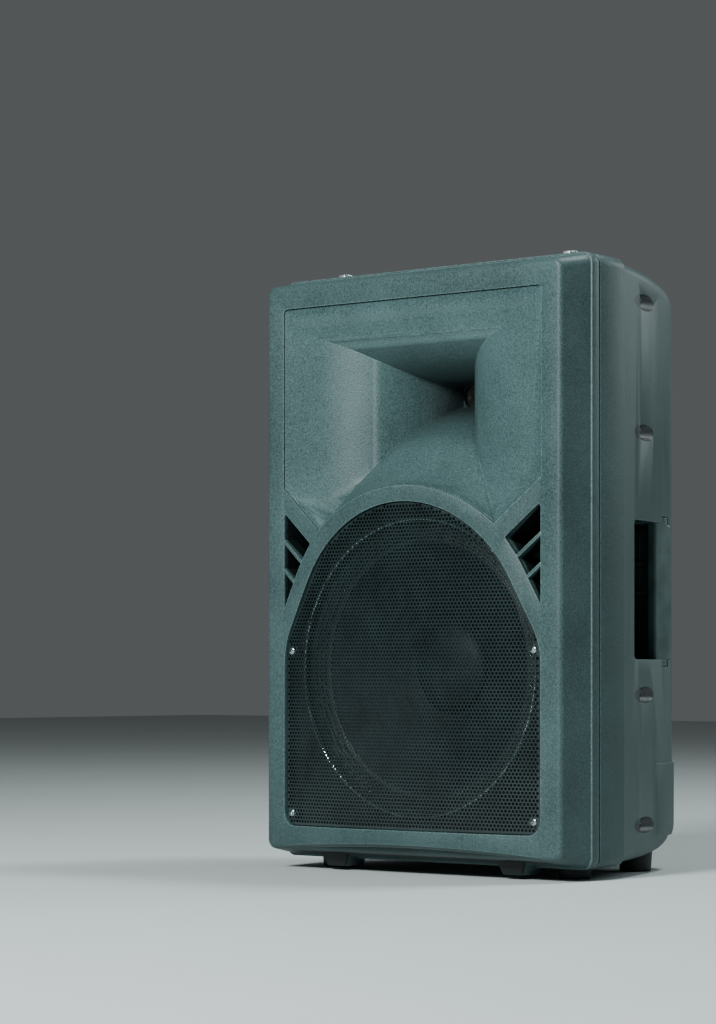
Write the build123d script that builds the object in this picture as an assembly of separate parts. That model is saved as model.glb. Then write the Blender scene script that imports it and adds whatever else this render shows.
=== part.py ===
from build123d import *
import os
from math import asin, cos, radians, sin, sqrt, tan

# Two-way moulded loudspeaker cabinet. +X is to the right of someone facing the grille,
# the grille faces -Y, +Z is up. The origin is on the floor, below the middle of the cabinet.
# "depth" is measured backwards from the flat rim face, "height" upwards from its lower edge.

# Cabinet outline
face_width = 437.0
face_height = 666.0
side_spread = 9.0
top_spread = 11.0
rim_width = face_width + 2 * side_spread
rim_height = face_height + 2 * top_spread
body_depth = 316.0
floor_gap = 24.0
wall = 5.0
front_wall = 6.0
face_corner = 11.0
rim_corner = 13.0
face_edge_round = 7.0
bead_start = 46.0
bead_side = 1.7
bead_top = 2.4
split_depth = 60.0
seam_gap = 1.5
seam_recess = 2.0
seal_width = 2.0
seal_thickness = 1.0

# Rear shell
collar_end = 108.0
collar_step = 3.0
side_angle_front = 13.0
side_angle_rear = 22.0
rear_side_radius = 62.0
rear_top_radius = 34.0
top_draft = 2.3
shell_corner = 14.0
rear_corner_growth = 30.0
heel_rise = 3.0
heel_low = 10.6
heel_high = 103.0
heel_start = 215.0
heel_chamfer = 7.0

# Bowed lower panel and grille opening
bow_half = 191.0
bow_rise = 14.0
bow_bottom_slope = 8.0
bow_window = 185.0
opening_half = 190.5
opening_bottom = 27.5
opening_corner = 17.0
arch_radius = 171.0
arch_centre = 233.5
flank_angle = 28.4
shoulder_radius = 90.0
recess_depth = 16.0
board_thickness = 8.0
tub_wall = 4.0

# Horn mouth and flare
mouth_half = 191.5
mouth_top = 638.5
mouth_corner = 425.7
mouth_angle = 39.7
mouth_arch_radius = 203.0
mouth_arch_centre = 219.5
mouth_step = 2.5
mouth_fillet = 6.0
margin_angle = 84.0
side_margin = 49.2
top_margin = 30.0
side_bend_angle = 45.0
side_radius_outer = 130.0
side_radius_inner = 260.0
top_bend_angle = 46.0
top_radius_outer = 28.0
top_radius_inner = 158.6
corner_angle = 23.0
corner_blend = 10.0
floor_bend_angle = 50.0
floor_bend_depth = 44.0
throat_floor_angle = 22.0
throat_floor = 521.0
throat_depth = 118.0
tip_depth = -5.0
crease_join = 31.0
horn_wall = 4.0
rim_back = 13.0
lip_width = 6.0
lip_thickness = 3.5

# Ports
port_outer = 190.7
port_top = 398.0
port_band = 20.5
port_corner = 2.5
port_pitch = 34.0
slat_thickness = 3.8
slat_depth = 22.0
duct_wall = 3.0
duct_depth = 78.0

# Grille
grille_setback = 3.0
grille_sheet = 1.4
grille_fold = 9.0
grille_clearance = 0.6
grille_screw_x = 179.75
grille_screw_heights = (42.5, 234.0)
post_radius = 6.0
grille_screw_head = 4.5
grille_screw_shank = 2.0

# Woofer
woofer_height = 213.2
cutout_radius = 172.0
woofer_frame_radius = 191.0
gasket_thickness = 2.5
flange_thickness = 4.5
cone_edge_radius = 150.0
cone_rear = 88.0
cone_wall = 1.5
surround_drop = 5.5
surround_pleats = 3
pleat_height = 1.2
cap_rise = 17.0
cap_wall = 1.0
cap_radius = 52.0
coil_radius = 38.0
coil_wall = 0.6
coil_clearance = 0.5
spider_radius = 92.0
spider_rolls = 7
spider_rise = 4.0
magnet_radius = 84.0
magnet_thickness = 20.0
plate_thickness = 8.0
basket_depth = 84.0
basket_wall = 3.5
basket_bore = 44.0
coil_overhang = 5.0
woofer_screw_count = 8
basket_window_count = 6

# Compression driver
throat_bore = 12.7
driver_height = 532.5
driver_radius = 50.0
driver_bolt_circle = 42.0
driver_bolt_hole = 2.6
driver_flange = 6.0
driver_plate = 8.0
driver_magnet_thickness = 16.0
driver_cover_depth = 24.0
dome_radius = 22.0
diaphragm_skin = 0.5

# Handles
handle_front = 142.0
handle_rear = 275.0
handle_drop = 109.5
handle_rise = 49.7
handle_corner = 6.0
cup_floor_x = 128.0
cup_wall = 3.0
grip_front = 241.0
grip_face_x = 175.0
grip_thickness = 12.0
tab_length = 25.0
tab_height = 8.0
rib_pitch = 34.4
rib_inset = 11.5

# Fittings
well_radius = 9.25
well_depth = 177.0
well_seat = 160.0
well_offsets = (-299.0, -150.0, 150.0, 299.0)
case_screw_radius = 2.6
rigging_x = 168.0
rigging_depth = 85.5
rigging_washer_radius = 18.5
rigging_hole = 5.2
foot_radius = 20.0
foot_x = 176.0
foot_front = 82.0
foot_rear = 236.0
foot_rear_x = 150.0
skid_x = 131.0
skid_width = 38.0
skid_front = 22.0
skid_clearance = 5.0
pole_radius = 18.0
pole_length = 80.0
pole_depth = 160.0
pole_tube_wall = 4.0
plate_width = 150.0
plate_height = 110.0
plate_centre = 215.0
plate_recess = 3.0
socket_radius = 13.0
socket_x = 32.0
fit_gap = 0.3

y_face = -(bow_rise + body_depth + heel_rise) / 2 + bow_rise
mid_height = face_height / 2
handle_low = mid_height - handle_drop
handle_high = mid_height + handle_rise


def y_at(depth):
    return y_face + depth


def z_at(height):
    return floor_gap + height


def face_plane(depth):
    """Forward-facing plane at a depth, its origin on the lower edge of the flat face."""
    return Plane(origin=(0, y_at(depth), floor_gap), x_dir=(1, 0, 0), z_dir=(0, -1, 0))


def rounded_slice(depth, half_w, half_h, corner):
    """Rounded rectangle of the cabinet's outline at one depth."""
    return face_plane(depth) * Pos(0, mid_height) * RectangleRounded(2 * half_w, 2 * half_h, corner)


def prism(sketch, depth_from, depth_to):
    """Sketch drawn on the face plane, carried from one depth back to another."""
    return extrude(face_plane(depth_from) * sketch, amount=depth_from - depth_to)


def disc(radius, depth_from, depth_to, x=0.0, height=0.0):
    """Round bar along the depth."""
    return prism(Pos(x, height) * Circle(radius), depth_from, depth_to)


def rod_z(radius, z_low, z_high, x=0.0, y=0.0):
    """Round upright bar."""
    return extrude(Plane(origin=(x, y, z_low)) * Circle(radius), amount=z_high - z_low)


def block(x0, x1, depth0, depth1, height0, height1):
    """Box given by its limits."""
    size = (x1 - x0, depth1 - depth0, height1 - height0)
    centre = ((x0 + x1) / 2, y_at((depth0 + depth1) / 2), z_at((height0 + height1) / 2))
    return Pos(*centre) * Box(*size)


def turned(points, x=0.0, height=0.0):
    """Body turned about an axis along the depth, from (radius, depth) points."""
    plane = Plane(origin=(x, y_face, z_at(height)), x_dir=(1, 0, 0), z_dir=(0, 0, 1))
    outline = plane * make_face(Polyline([(r, d) for r, d in points], close=True))
    return revolve(outline, axis=Axis((x, y_face, z_at(height)), (0, 1, 0)))


def bow_band(front, back, low, high):
    """Bowed plate between two depths behind the bow's surface."""
    crest = front - bow_rise
    crest_back = back - bow_rise
    edge = [
        ThreePointArc((-bow_half, front), (0, crest), (bow_half, front)),
        Line((bow_half, front), (bow_half, back)),
        ThreePointArc((bow_half, back), (0, crest_back), (-bow_half, back)),
        Line((-bow_half, back), (-bow_half, front)),
    ]
    plan = Plane(origin=(0, y_face, z_at(low))) * make_face(edge)
    return extrude(plan, amount=high - low)


def bow_at(x):
    """How far the bowed panel stands forward of the flat face."""
    radius = (bow_half ** 2 + bow_rise ** 2) / (2 * bow_rise)
    return sqrt(radius ** 2 - x ** 2) - (radius - bow_rise)


def arc(cx, cz, radius, start, end):
    """Arc about a centre, from one angle to another, in degrees."""
    spots = [radians(a) for a in (start, (start + end) / 2, end)]
    return ThreePointArc(*[(cx + radius * cos(a), cz + radius * sin(a)) for a in spots])


def opening_outline(grow):
    """Grille opening: arch, straight flanks, rounded shoulders, upright sides."""
    half = opening_half + grow
    low = opening_bottom - grow
    corner = opening_corner + grow
    crown = arch_radius + grow
    shoulder = shoulder_radius + grow
    tilt = radians(flank_angle)
    run = (half - crown * cos(tilt)) / sin(tilt)
    knee = arch_centre + crown * sin(tilt) - run * cos(tilt)
    reach = shoulder * tan(tilt / 2)
    side = half - shoulder
    right_arch = (crown * cos(tilt), arch_centre + crown * sin(tilt))
    right_knee = (half - reach * sin(tilt), knee + reach * cos(tilt))
    edges = [
        arc(0, arch_centre, crown, flank_angle, 180 - flank_angle),
        Line((-right_arch[0], right_arch[1]), (-right_knee[0], right_knee[1])),
        arc(-side, knee - reach, shoulder, 180 - flank_angle, 180),
        Line((-half, knee - reach), (-half, low + corner)),
        arc(-half + corner, low + corner, corner, 180, 270),
        Line((-half + corner, low), (half - corner, low)),
        arc(half - corner, low + corner, corner, 270, 360),
        Line((half, low + corner), (half, knee - reach)),
        arc(side, knee - reach, shoulder, 0, flank_angle),
        Line(right_knee, right_arch),
    ]
    return make_face(edges)


def mouth_points(grow):
    """Right half of the horn mouth: its lower corner and the tip beside the arch."""
    tilt = radians(mouth_angle)
    base_x = mouth_half + grow * sin(tilt)
    base_h = mouth_corner - grow * cos(tilt)
    step = (mouth_half + grow - base_x) / cos(tilt)
    corner = (mouth_half + grow, base_h + step * sin(tilt))
    rise = base_h - mouth_arch_centre
    along = base_x * cos(tilt) + rise * sin(tilt)
    root = along ** 2 - (base_x ** 2 + rise ** 2 - (mouth_arch_radius - grow) ** 2)
    run = -along + sqrt(root)
    return corner, (base_x + run * cos(tilt), base_h + run * sin(tilt))


def horn_section(half, top, shoulder, knee, tip, apex):
    """Eight-sided horn outline: upright sides, two slanted lower sides, an arch below."""
    right = [(half, top), shoulder, knee, tip]
    left = [(-x, height) for x, height in reversed(right)]
    edges = [Line(a, b) for a, b in zip(right, right[1:])]
    edges.append(ThreePointArc(tip, (0, apex), left[0]))
    edges += [Line(a, b) for a, b in zip(left, left[1:])]
    edges.append(Line(left[-1], right[0]))
    return make_face(edges)


def mouth_outline(grow):
    corner, tip = mouth_points(grow)
    knee = tuple(c + (t - c) / 4 for c, t in zip(corner, tip))
    apex = mouth_arch_centre + mouth_arch_radius - grow
    return horn_section(mouth_half + grow, mouth_top + grow, corner, knee, tip, apex)


def bend(depth, start_depth, start_angle, middle_angle, radius_outer, radius_inner):
    """Fall of a wall, and its angle to the depth axis, along two tangent arcs."""
    outer_end = start_depth + radius_outer * (sin(radians(start_angle)) - sin(radians(middle_angle)))
    if depth <= outer_end:
        angle = asin(sin(radians(start_angle)) - (depth - start_depth) / radius_outer)
        return radius_outer * (cos(angle) - cos(radians(start_angle))), angle
    fall = radius_outer * (cos(radians(middle_angle)) - cos(radians(start_angle)))
    angle = asin(sin(radians(middle_angle)) - (depth - outer_end) / radius_inner)
    return fall + radius_inner * (cos(angle) - cos(radians(middle_angle))), angle


def margin_fall(depth, margin, middle_angle, radius_outer, radius_inner):
    """Fall of a wall from the mouth edge: a step, a shallow margin, then two arcs."""
    slope = tan(radians(90 - margin_angle))
    end = mouth_step + margin * slope
    if depth <= mouth_step:
        return 0.0, radians(margin_angle)
    if depth <= end:
        return (depth - mouth_step) / slope, radians(margin_angle)
    fall, angle = bend(depth, end, margin_angle, middle_angle, radius_outer, radius_inner)
    return margin + fall, angle


def side_of_horn(depth):
    fall, angle = margin_fall(depth, side_margin, side_bend_angle, side_radius_outer, side_radius_inner)
    return mouth_half - fall, angle


def top_of_horn(depth):
    return mouth_top - margin_fall(depth, top_margin, top_bend_angle, top_radius_outer, top_radius_inner)[0]


def floor_of_horn(depth):
    """Height of the crease between side wall and floor."""
    low = radians(throat_floor_angle)
    mid = radians(floor_bend_angle)
    inner = (throat_depth - floor_bend_depth) / (sin(mid) - sin(low))
    if depth >= floor_bend_depth:
        angle = asin(sin(low) + (throat_depth - depth) / inner)
        return throat_floor - inner * (cos(low) - cos(angle))
    bend_height = throat_floor - inner * (cos(low) - cos(mid))
    tip_height = mouth_points(0)[1][1]
    share = (floor_bend_depth - depth) / (floor_bend_depth - tip_depth)
    lift = 0.18 * share * (1 - share)
    return bend_height + (tip_height - bend_height) * (share - lift)


def crease_of_horn(depth):
    """Distance of that crease from the middle."""
    join = side_of_horn(crease_join)[0]
    if depth >= crease_join:
        return side_of_horn(depth)[0]
    share = (crease_join - depth) / (crease_join - tip_depth)
    return join + (mouth_points(0)[1][0] - join) * share


def apex_of_horn(depth):
    """Height of the floor in the middle of the flare."""
    rim = mouth_arch_centre + mouth_arch_radius
    tip = crease_of_horn(depth)
    settled = floor_of_horn(depth) + mouth_arch_radius - sqrt(mouth_arch_radius ** 2 - tip ** 2)
    share = min(1.0, max(0.0, (depth + bow_rise - mouth_step) / (crease_join + bow_rise - mouth_step)))
    end = floor_of_horn(crease_join) + mouth_arch_radius - sqrt(
        mouth_arch_radius ** 2 - crease_of_horn(crease_join) ** 2)
    early = rim + (end - rim) * (0.55 * share + 0.45 * share ** 2)
    return early if depth < crease_join else settled


def horn_slice(depth, grow=0.0, shift=0.0):
    """Cross-section of the flare's air space, or of its outside where it is grown."""
    half = side_of_horn(depth)[0]
    tip_x = crease_of_horn(depth)
    tip_h = floor_of_horn(depth)
    width = half - tip_x
    slope = tan(radians(corner_angle))
    blend = corner_blend * min(1.0, max(0.0, (depth - mouth_step) / mouth_step))
    knee_h = tip_h + max(0.75 * width * slope, 3.0)
    shoulder_h = knee_h + max(0.25 * width * slope + blend, 6.0)
    knee_x = half - width / 4
    if depth <= mouth_step:
        corner, tip = mouth_points(0)
        shoulder_h = corner[1]
        share = (mouth_step - depth) / (mouth_step - tip_depth)
        knee_h += (corner[1] + (tip[1] - corner[1]) / 4 - knee_h) * share
    top = top_of_horn(depth)
    section = horn_section(half + grow, top + grow, (half + grow, shoulder_h),
                           (knee_x + grow, knee_h - grow / 2), (tip_x + grow, tip_h - grow),
                           apex_of_horn(depth) - grow)
    return face_plane(depth + shift) * section


def horn_cavity():
    """Air space of the horn, with the open air in front of its mouth."""
    front = [face_plane(d) * mouth_outline(0) for d in (-bow_rise - 6, mouth_step - bow_rise)]
    depths = (tip_depth, 0.0, mouth_step, 5.0, 7.7, 10.0, 14.0, 20.0, crease_join - 5, crease_join,
              38.0, 46.0, 58.0, 72.0, 88.0, 104.0, throat_depth)
    return loft(front + [horn_slice(d) for d in depths], ruled=True)


def horn_outside():
    """Outer surface of the flare, one wall away from the air space."""
    slices = []
    for depth in (7.7, 14.0, 22.0, crease_join, 44.0, 60.0, 88.0, throat_depth):
        angle = side_of_horn(depth)[1]
        slices.append(horn_slice(depth, horn_wall * (0.25 + 0.75 * cos(angle)), horn_wall * sin(angle)))
    return loft(slices, ruled=True)


def side_half(depth):
    """Half width of the tapered part of the rear shell."""
    start = collar_end + collar_step
    rear_depth = body_depth - rear_side_radius * (1 - sin(radians(side_angle_rear)))
    front_half = rim_width / 2 - 0.8 - collar_step
    if depth <= rear_depth:
        turn = (sin(radians(side_angle_rear)) - sin(radians(side_angle_front))) / (rear_depth - start)
        angle = asin(sin(radians(side_angle_front)) + turn * (depth - start))
        return front_half - (cos(radians(side_angle_front)) - cos(angle)) / turn
    centre_half = side_half(rear_depth) - rear_side_radius * cos(radians(side_angle_rear))
    back = min(1.0, (depth - body_depth + rear_side_radius) / rear_side_radius)
    return centre_half + rear_side_radius * sqrt(1 - back ** 2)


def top_half(depth):
    """Half height of the tapered part of the rear shell."""
    start = collar_end + collar_step
    straight = rim_height / 2 - 1.2 - collar_step - (depth - start) * tan(radians(top_draft))
    if depth <= body_depth - rear_top_radius:
        return straight
    back = min(1.0, (depth - body_depth + rear_top_radius) / rear_top_radius)
    return straight - rear_top_radius * (1 - sqrt(1 - back ** 2))


def shell_hull(inset):
    """Tapered part of the rear shell as a solid, one inset inside its outer surface."""
    slices = []
    start = collar_end + collar_step
    rear = body_depth - inset
    for share in (0, 0.2, 0.4, 0.6, 0.72, 0.8, 0.87, 0.93, 0.97, 1.0):
        depth = start + (rear - start) * share
        outer_depth = start + (body_depth - start) * share
        corner = shell_corner + rear_corner_growth * share ** 3 - inset
        half_width = side_half(outer_depth) - inset
        half_height = top_half(outer_depth) - inset
        slices.append(rounded_slice(depth, half_width, half_height, corner))
    return loft(slices, ruled=True)


# Front moulding ------------------------------------------------------------------------

def port_outline(grow):
    """Three-sided port opening between rim, diagonal band and arch band."""
    tilt = tan(radians(mouth_angle))
    lift = grow / cos(radians(mouth_angle))
    right = port_outer + grow
    left = 110.0
    low = 270.0
    top_right = port_top + lift + grow * tilt
    top_left = top_right - (right - left) * tilt
    corners = [(left, low), (right, low), (right, top_right), (left, top_left)]
    outline = make_face(Polyline(corners, close=True)) - opening_outline(port_band - grow)
    sharp = [outline.vertices().sort_by(Axis.Y)[-1], outline.vertices().sort_by(Axis.X)[0]]
    return fillet(sharp, port_corner + grow)


def mirrored(sketch):
    return mirror(sketch, about=Plane.YZ)


def front_baffle():
    face_slice = rounded_slice(0, face_width / 2, face_height / 2, face_corner)
    bead_slice = rounded_slice(bead_start, rim_width / 2 - bead_side, rim_height / 2 - bead_top, rim_corner)
    tray_outer = loft([face_slice, bead_slice], ruled=True)
    front_edges = tray_outer.edges().group_by(Axis.Y)[0]
    tray_outer = fillet(front_edges, face_edge_round)
    bead = prism(Pos(0, mid_height) * RectangleRounded(rim_width, rim_height, rim_corner),
                 bead_start, split_depth - seam_gap)
    groove = RectangleRounded(rim_width - 2 * seam_recess, rim_height - 2 * seam_recess,
                              rim_corner - seam_recess)
    lip = prism(Pos(0, mid_height) * groove, split_depth - seam_gap, split_depth)
    inside_front = rounded_slice(front_wall, face_width / 2 - wall, face_height / 2 - wall, face_corner - 4)
    inside_back = rounded_slice(split_depth, rim_width / 2 - 1.5 * wall, rim_height / 2 - 1.5 * wall,
                                rim_corner - wall)
    inside = loft([inside_front, inside_back], ruled=True)
    body = tray_outer + bead + lip - inside
    window = block(-bow_window, bow_window, -1, front_wall + 1, opening_bottom - 8, mouth_corner)
    panel = bow_band(0, front_wall, 0, mouth_corner)
    wedge_profile = Polyline([(-bow_rise - 8, -1), (-bow_rise - 8, bow_bottom_slope + 8),
                              (face_edge_round, -1)], close=True)
    wedge_plane = Plane(origin=(-bow_half - 5, y_face, floor_gap), x_dir=(0, 1, 0), z_dir=(1, 0, 0))
    wedge = extrude(wedge_plane * make_face(wedge_profile), amount=2 * bow_half + 10)
    body = body - window + (panel - wedge)
    tub = prism(opening_outline(tub_wall), 2, recess_depth + board_thickness)
    body = body + (tub - prism(opening_outline(-1), -bow_rise - 5, recess_depth))
    body -= prism(opening_outline(0), -bow_rise - 5, recess_depth)
    body -= prism(mouth_outline(0), -bow_rise - 5, front_wall + 1)
    body -= disc(cutout_radius, 0, split_depth, height=woofer_height)
    body += mouth_corner_fills(0, 0, front_wall)
    body -= seal_ring(seal_thickness)
    body -= woofer_screw_holes(board_back - screw_pilot, board_back + 1)
    for sign in (-1, 1):
        outline = port_outline(0) if sign > 0 else mirrored(port_outline(0))
        body -= prism(outline, -bow_rise - 5, front_wall + 1)
        for height in grille_screw_heights:
            post_top = grille_setback + grille_sheet - bow_at(grille_screw_x + post_radius)
            body += disc(post_radius, post_top, recess_depth + 1, sign * grille_screw_x, height)
            body -= disc(grille_screw_shank, post_top - 1, recess_depth, sign * grille_screw_x, height)
        body += skid(sign)
        for offset in well_offsets:
            x = sign * side_half(well_depth)
            tower = disc(8.0, 38.0, split_depth, x, mid_height + offset)
            edge = sign * (face_width / 2 - 1)
            rib = block(min(x, edge), max(x, edge), 38.0, split_depth,
                        mid_height + offset - 1.5, mid_height + offset + 1.5)
            body += tower + rib
            body -= disc(case_screw_radius, 42.0, split_depth, x, mid_height + offset)
    return body


def seal_ring(thickness):
    """Strip between the two mouldings, in the middle of their butted edges."""
    half_w = rim_width / 2 - seam_recess - 1.5
    half_h = rim_height / 2 - seam_recess - 1.5
    outer = Pos(0, mid_height) * RectangleRounded(2 * half_w, 2 * half_h, 9.0)
    inner = Pos(0, mid_height) * RectangleRounded(2 * (half_w - seal_width), 2 * (half_h - seal_width), 7.0)
    return prism(outer - inner, split_depth - thickness, split_depth)


def skid(sign):
    """Trapezoid skid under the rim frame."""
    top = -4.0
    low = -floor_gap + skid_clearance
    half = skid_width / 2
    profile = Polyline([(-half, top), (half, top), (half - 4, low), (-half + 9, low)], close=True)
    return prism(Pos(sign * skid_x, 0) * make_face(profile), skid_front, split_depth - seam_gap - 1)



def mouth_corner_fills(grow, depth_from, depth_to):
    """Rounds in the two upper corners of the mouth."""
    fills = []
    for sign in (-1, 1):
        square = Pos(sign * (mouth_half - mouth_fillet / 2), mouth_top - mouth_fillet / 2)
        centre = Pos(sign * (mouth_half - mouth_fillet), mouth_top - mouth_fillet)
        round_cut = square * Rectangle(mouth_fillet, mouth_fillet) - centre * Circle(mouth_fillet - grow)
        fills.append(prism(round_cut, depth_from, depth_to))
    return fills


def border_blocks(low, high):
    """Flat side borders of the front wall, beside the bowed panel."""
    right = block(bow_window, rim_width / 2, -bow_rise, front_wall, low, high)
    left = block(-rim_width / 2, -bow_window, -bow_rise, front_wall, low, high)
    return right + left


def horn_flare():
    """Flare with its flange, seated in the mouth of the front moulding from behind."""
    flat = block(-mouth_half - 10, mouth_half + 10, mouth_step, rim_back, mouth_corner - 6, mouth_top + 10)
    bowed = bow_band(mouth_step, rim_back + bow_rise + 1, mouth_tip_low, mouth_corner - 6)
    rim = prism(mouth_outline(-fit_gap), -bow_rise - 5, rim_back) & (flat + bowed)
    seat = front_wall
    flat_lip = block(-mouth_half - 10, mouth_half + 10, seat, seat + lip_thickness,
                     mouth_corner - 6, mouth_top + 10)
    bowed_lip = bow_band(seat, seat + lip_thickness, mouth_tip_low, mouth_corner - 6)
    lip = prism(mouth_outline(lip_width), -bow_rise - 5, 14.0) & (flat_lip + bowed_lip)
    lip -= border_blocks(mouth_tip_low, mouth_corner - 6)
    rim -= mouth_corner_fills(fit_gap, 0, front_wall + fit_gap)
    shell = horn_outside() + rim + lip
    shell += disc(driver_radius, throat_depth - 1, throat_depth + driver_flange, height=driver_height)
    shell -= horn_cavity()
    shell -= disc(throat_bore, throat_depth - 3, throat_depth + 7, height=driver_height)
    for index in range(4):
        x, height = driver_bolt(index)
        shell -= disc(driver_bolt_hole, throat_depth - 2, throat_depth + 7, x, driver_height + height)
    return shell


def driver_bolt(index):
    angle = radians(45 + 90 * index)
    return driver_bolt_circle * cos(angle), driver_bolt_circle * sin(angle)


mouth_tip_low = mouth_points(lip_width)[1][1] - 12.0


def port_duct(sign):
    """Three-sided duct behind the port opening, with two slats across its mouth."""
    outer = port_outline(duct_wall)
    inner = port_outline(0)
    tilt = radians(mouth_angle)
    if sign < 0:
        outer = mirrored(outer)
        inner = mirrored(inner)
    tube = prism(outer, -bow_rise, duct_depth) - prism(inner, -bow_rise - 1, duct_depth + 1)
    bowed = bow_band(front_wall, duct_depth + 40, 250, 420)
    tube &= bowed + block(-210, 210, front_wall, duct_depth, 250, 420)
    tube -= border_blocks(250, 420)
    slats = None
    for index in (1, 2):
        height = port_top - port_pitch * index
        half = slat_thickness / 2 / cos(tilt)
        slope = tan(tilt)
        right = port_outer + 1
        left = 130.0
        strip = make_face(Polyline([(left, height - half - (right - left) * slope),
                                    (right, height - half), (right, height + half),
                                    (left, height + half - (right - left) * slope)], close=True))
        if sign < 0:
            strip = mirrored(strip)
        strip = strip & inner
        bar = prism(strip, -bow_rise, slat_depth) & bow_band(0.4, slat_depth + 20, 250, 420)
        slats = bar if slats is None else slats + bar
    return tube + slats


# Rear moulding -------------------------------------------------------------------------

def collar(inset):
    """Straight part of the rear shell with its step down to the tapered part."""
    half_w = rim_width / 2 - inset
    half_h = rim_height / 2 - inset
    corner = shell_corner - inset
    band = loft([rounded_slice(split_depth + seam_gap, half_w, half_h, corner),
                 rounded_slice(collar_end, half_w - 0.8, half_h - 1.2, corner)], ruled=True)
    step = loft([rounded_slice(collar_end, half_w - 0.8, half_h - 1.2, corner),
                 rounded_slice(collar_end + collar_step, side_half(collar_end + collar_step) - inset,
                               top_half(collar_end + collar_step) - inset, corner)], ruled=True)
    lip_w = half_w - seam_recess
    lip_h = half_h - seam_recess
    lip = prism(Pos(0, mid_height) * RectangleRounded(2 * lip_w, 2 * lip_h, corner - seam_recess),
                split_depth, split_depth + seam_gap)
    return band + step + lip


def heel():
    """Low raised band round the lower rear corners."""
    grown = loft([rounded_slice(d, side_half(min(d, body_depth)) + g, top_half(body_depth - 60), c + g)
                  for d, g, c in ((heel_start, 0.0, 24.0), (heel_start + 25, heel_rise * 0.8, 26.0),
                                  (body_depth - 30, heel_rise, 30.0), (body_depth - 14, heel_rise, 34.0),
                                  (body_depth - 5, heel_rise, 38.0), (body_depth, heel_rise, 40.0))],
                 ruled=True)
    back = RectangleRounded(2 * side_half(body_depth), 2 * top_half(body_depth - 60), 30.0)
    pad = prism(Pos(0, mid_height) * back, body_depth - 2, body_depth + heel_rise)
    profile = Polyline([(heel_start - 5, heel_low + heel_chamfer),
                        (body_depth - 30, heel_low + heel_chamfer),
                        (body_depth + heel_rise, heel_low + 3 * heel_chamfer),
                        (body_depth + heel_rise, heel_high - heel_chamfer),
                        (body_depth - 30, heel_high), (heel_start - 5, heel_high)], close=True)
    side = Plane(origin=(-rim_width, y_face, floor_gap), x_dir=(0, 1, 0), z_dir=(1, 0, 0))
    slab = extrude(side * make_face(profile), amount=2 * rim_width)
    return (grown + pad) & slab


def handle_window(sign, inner_x):
    """Opening for the hand, with a notch for each tab of the grip."""
    side = Plane(origin=(sign * inner_x, y_face, floor_gap), x_dir=(0, 1, 0), z_dir=(1, 0, 0))
    middle = ((handle_front + handle_rear) / 2, (handle_low + handle_high) / 2)
    tall = handle_high - handle_low
    hole = Pos(*middle) * RectangleRounded(handle_rear - handle_front, tall, handle_corner)
    notch = Rectangle(tab_length + 2 * fit_gap, tall + 2 * tab_height + 2 * fit_gap)
    outline = hole + Pos(grip_front + tab_length / 2, middle[1]) * notch
    return extrude(side * outline, amount=sign * (rim_width / 2 + 20 - inner_x))


def rear_shell():
    outer = collar(0) + shell_hull(0) + heel()
    inner = collar(wall) + shell_hull(wall)
    inner += prism(Pos(0, mid_height) * RectangleRounded(rim_width - 2 * (wall + seam_recess),
                                                         rim_height - 2 * (wall + seam_recess), 8.0),
                   split_depth - 1, split_depth + 5)
    body = outer - inner
    for sign in (-1, 1):
        for offset in well_offsets:
            x = sign * side_half(well_depth)
            height = mid_height + offset
            tower = disc(well_radius + 3.5, split_depth, well_depth + 40, x, height) & outer
            body += tower
            body -= disc(well_radius, well_seat, well_depth + 60, x, height)
            body -= disc(case_screw_radius, split_depth - 1, well_seat + 1, x, height)
        body -= handle_window(sign, 100.0)
        body -= rod_z(rigging_hole, z_at(mid_height + 300), z_at(face_height + 40), sign * rigging_x,
                      y_at(rigging_depth))
    plate_back = body_depth - plate_recess - 3.0
    body += block(-plate_width / 2 - 12, plate_width / 2 + 12, plate_back - wall, body_depth - 1,
                  plate_centre - plate_height / 2 - 12, plate_centre + plate_height / 2 + 12)
    body -= block(-plate_width / 2 + 10, plate_width / 2 - 10, plate_back - wall - 5, body_depth + 5,
                  plate_centre - plate_height / 2 + 10, plate_centre + plate_height / 2 - 10)
    recess = Pos(0, plate_centre) * RectangleRounded(plate_width + 1, plate_height + 1, 6.0)
    body -= prism(recess, plate_back, body_depth + 5)
    for x, height in plate_screw_spots():
        body -= disc(1.6, plate_back - 4, plate_back + 1, x, height)
    body -= rod_z(pole_radius + pole_tube_wall + fit_gap, 0, z_at(60), 0, y_at(pole_depth))
    for x, y in pole_screw_spots():
        body -= rod_z(2.0, 0, z_at(40), x, y)
    for x, y in foot_spots():
        body -= rod_z(2.0, 0, z_at(40), x, y)
    return body


def plate_screw_spots():
    dx = plate_width / 2 - 6
    dh = plate_height / 2 - 6
    return [(sx * dx, plate_centre + sh * dh) for sx in (-1, 1) for sh in (-1, 1)]


def pole_screw_spots():
    reach = pole_radius + 13.0
    middle = y_at(pole_depth)
    return [(reach * cos(radians(a)), middle + reach * sin(radians(a))) for a in (45, 135, 225, 315)]


def foot_spots():
    spots = []
    for sign in (-1, 1):
        spots.append((sign * foot_x, y_at(foot_front)))
        spots.append((sign * foot_rear_x, y_at(foot_rear)))
    return spots


# Handles -------------------------------------------------------------------------------

def side_prism(sketch, sign, x_from, x_to):
    """Sketch in (depth, height), carried sideways between two distances from the middle."""
    side = Plane(origin=(sign * x_from, y_face, floor_gap), x_dir=(0, 1, 0), z_dir=(1, 0, 0))
    return extrude(side * sketch, amount=sign * (x_to - x_from))


def cup_outline(grow):
    width = handle_rear - handle_front + 2 * grow
    height = handle_high - handle_low + 2 * (tab_height + fit_gap + grow)
    middle = ((handle_front + handle_rear) / 2, (handle_low + handle_high) / 2)
    return Pos(*middle) * RectangleRounded(width, height, handle_corner + grow)


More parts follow.
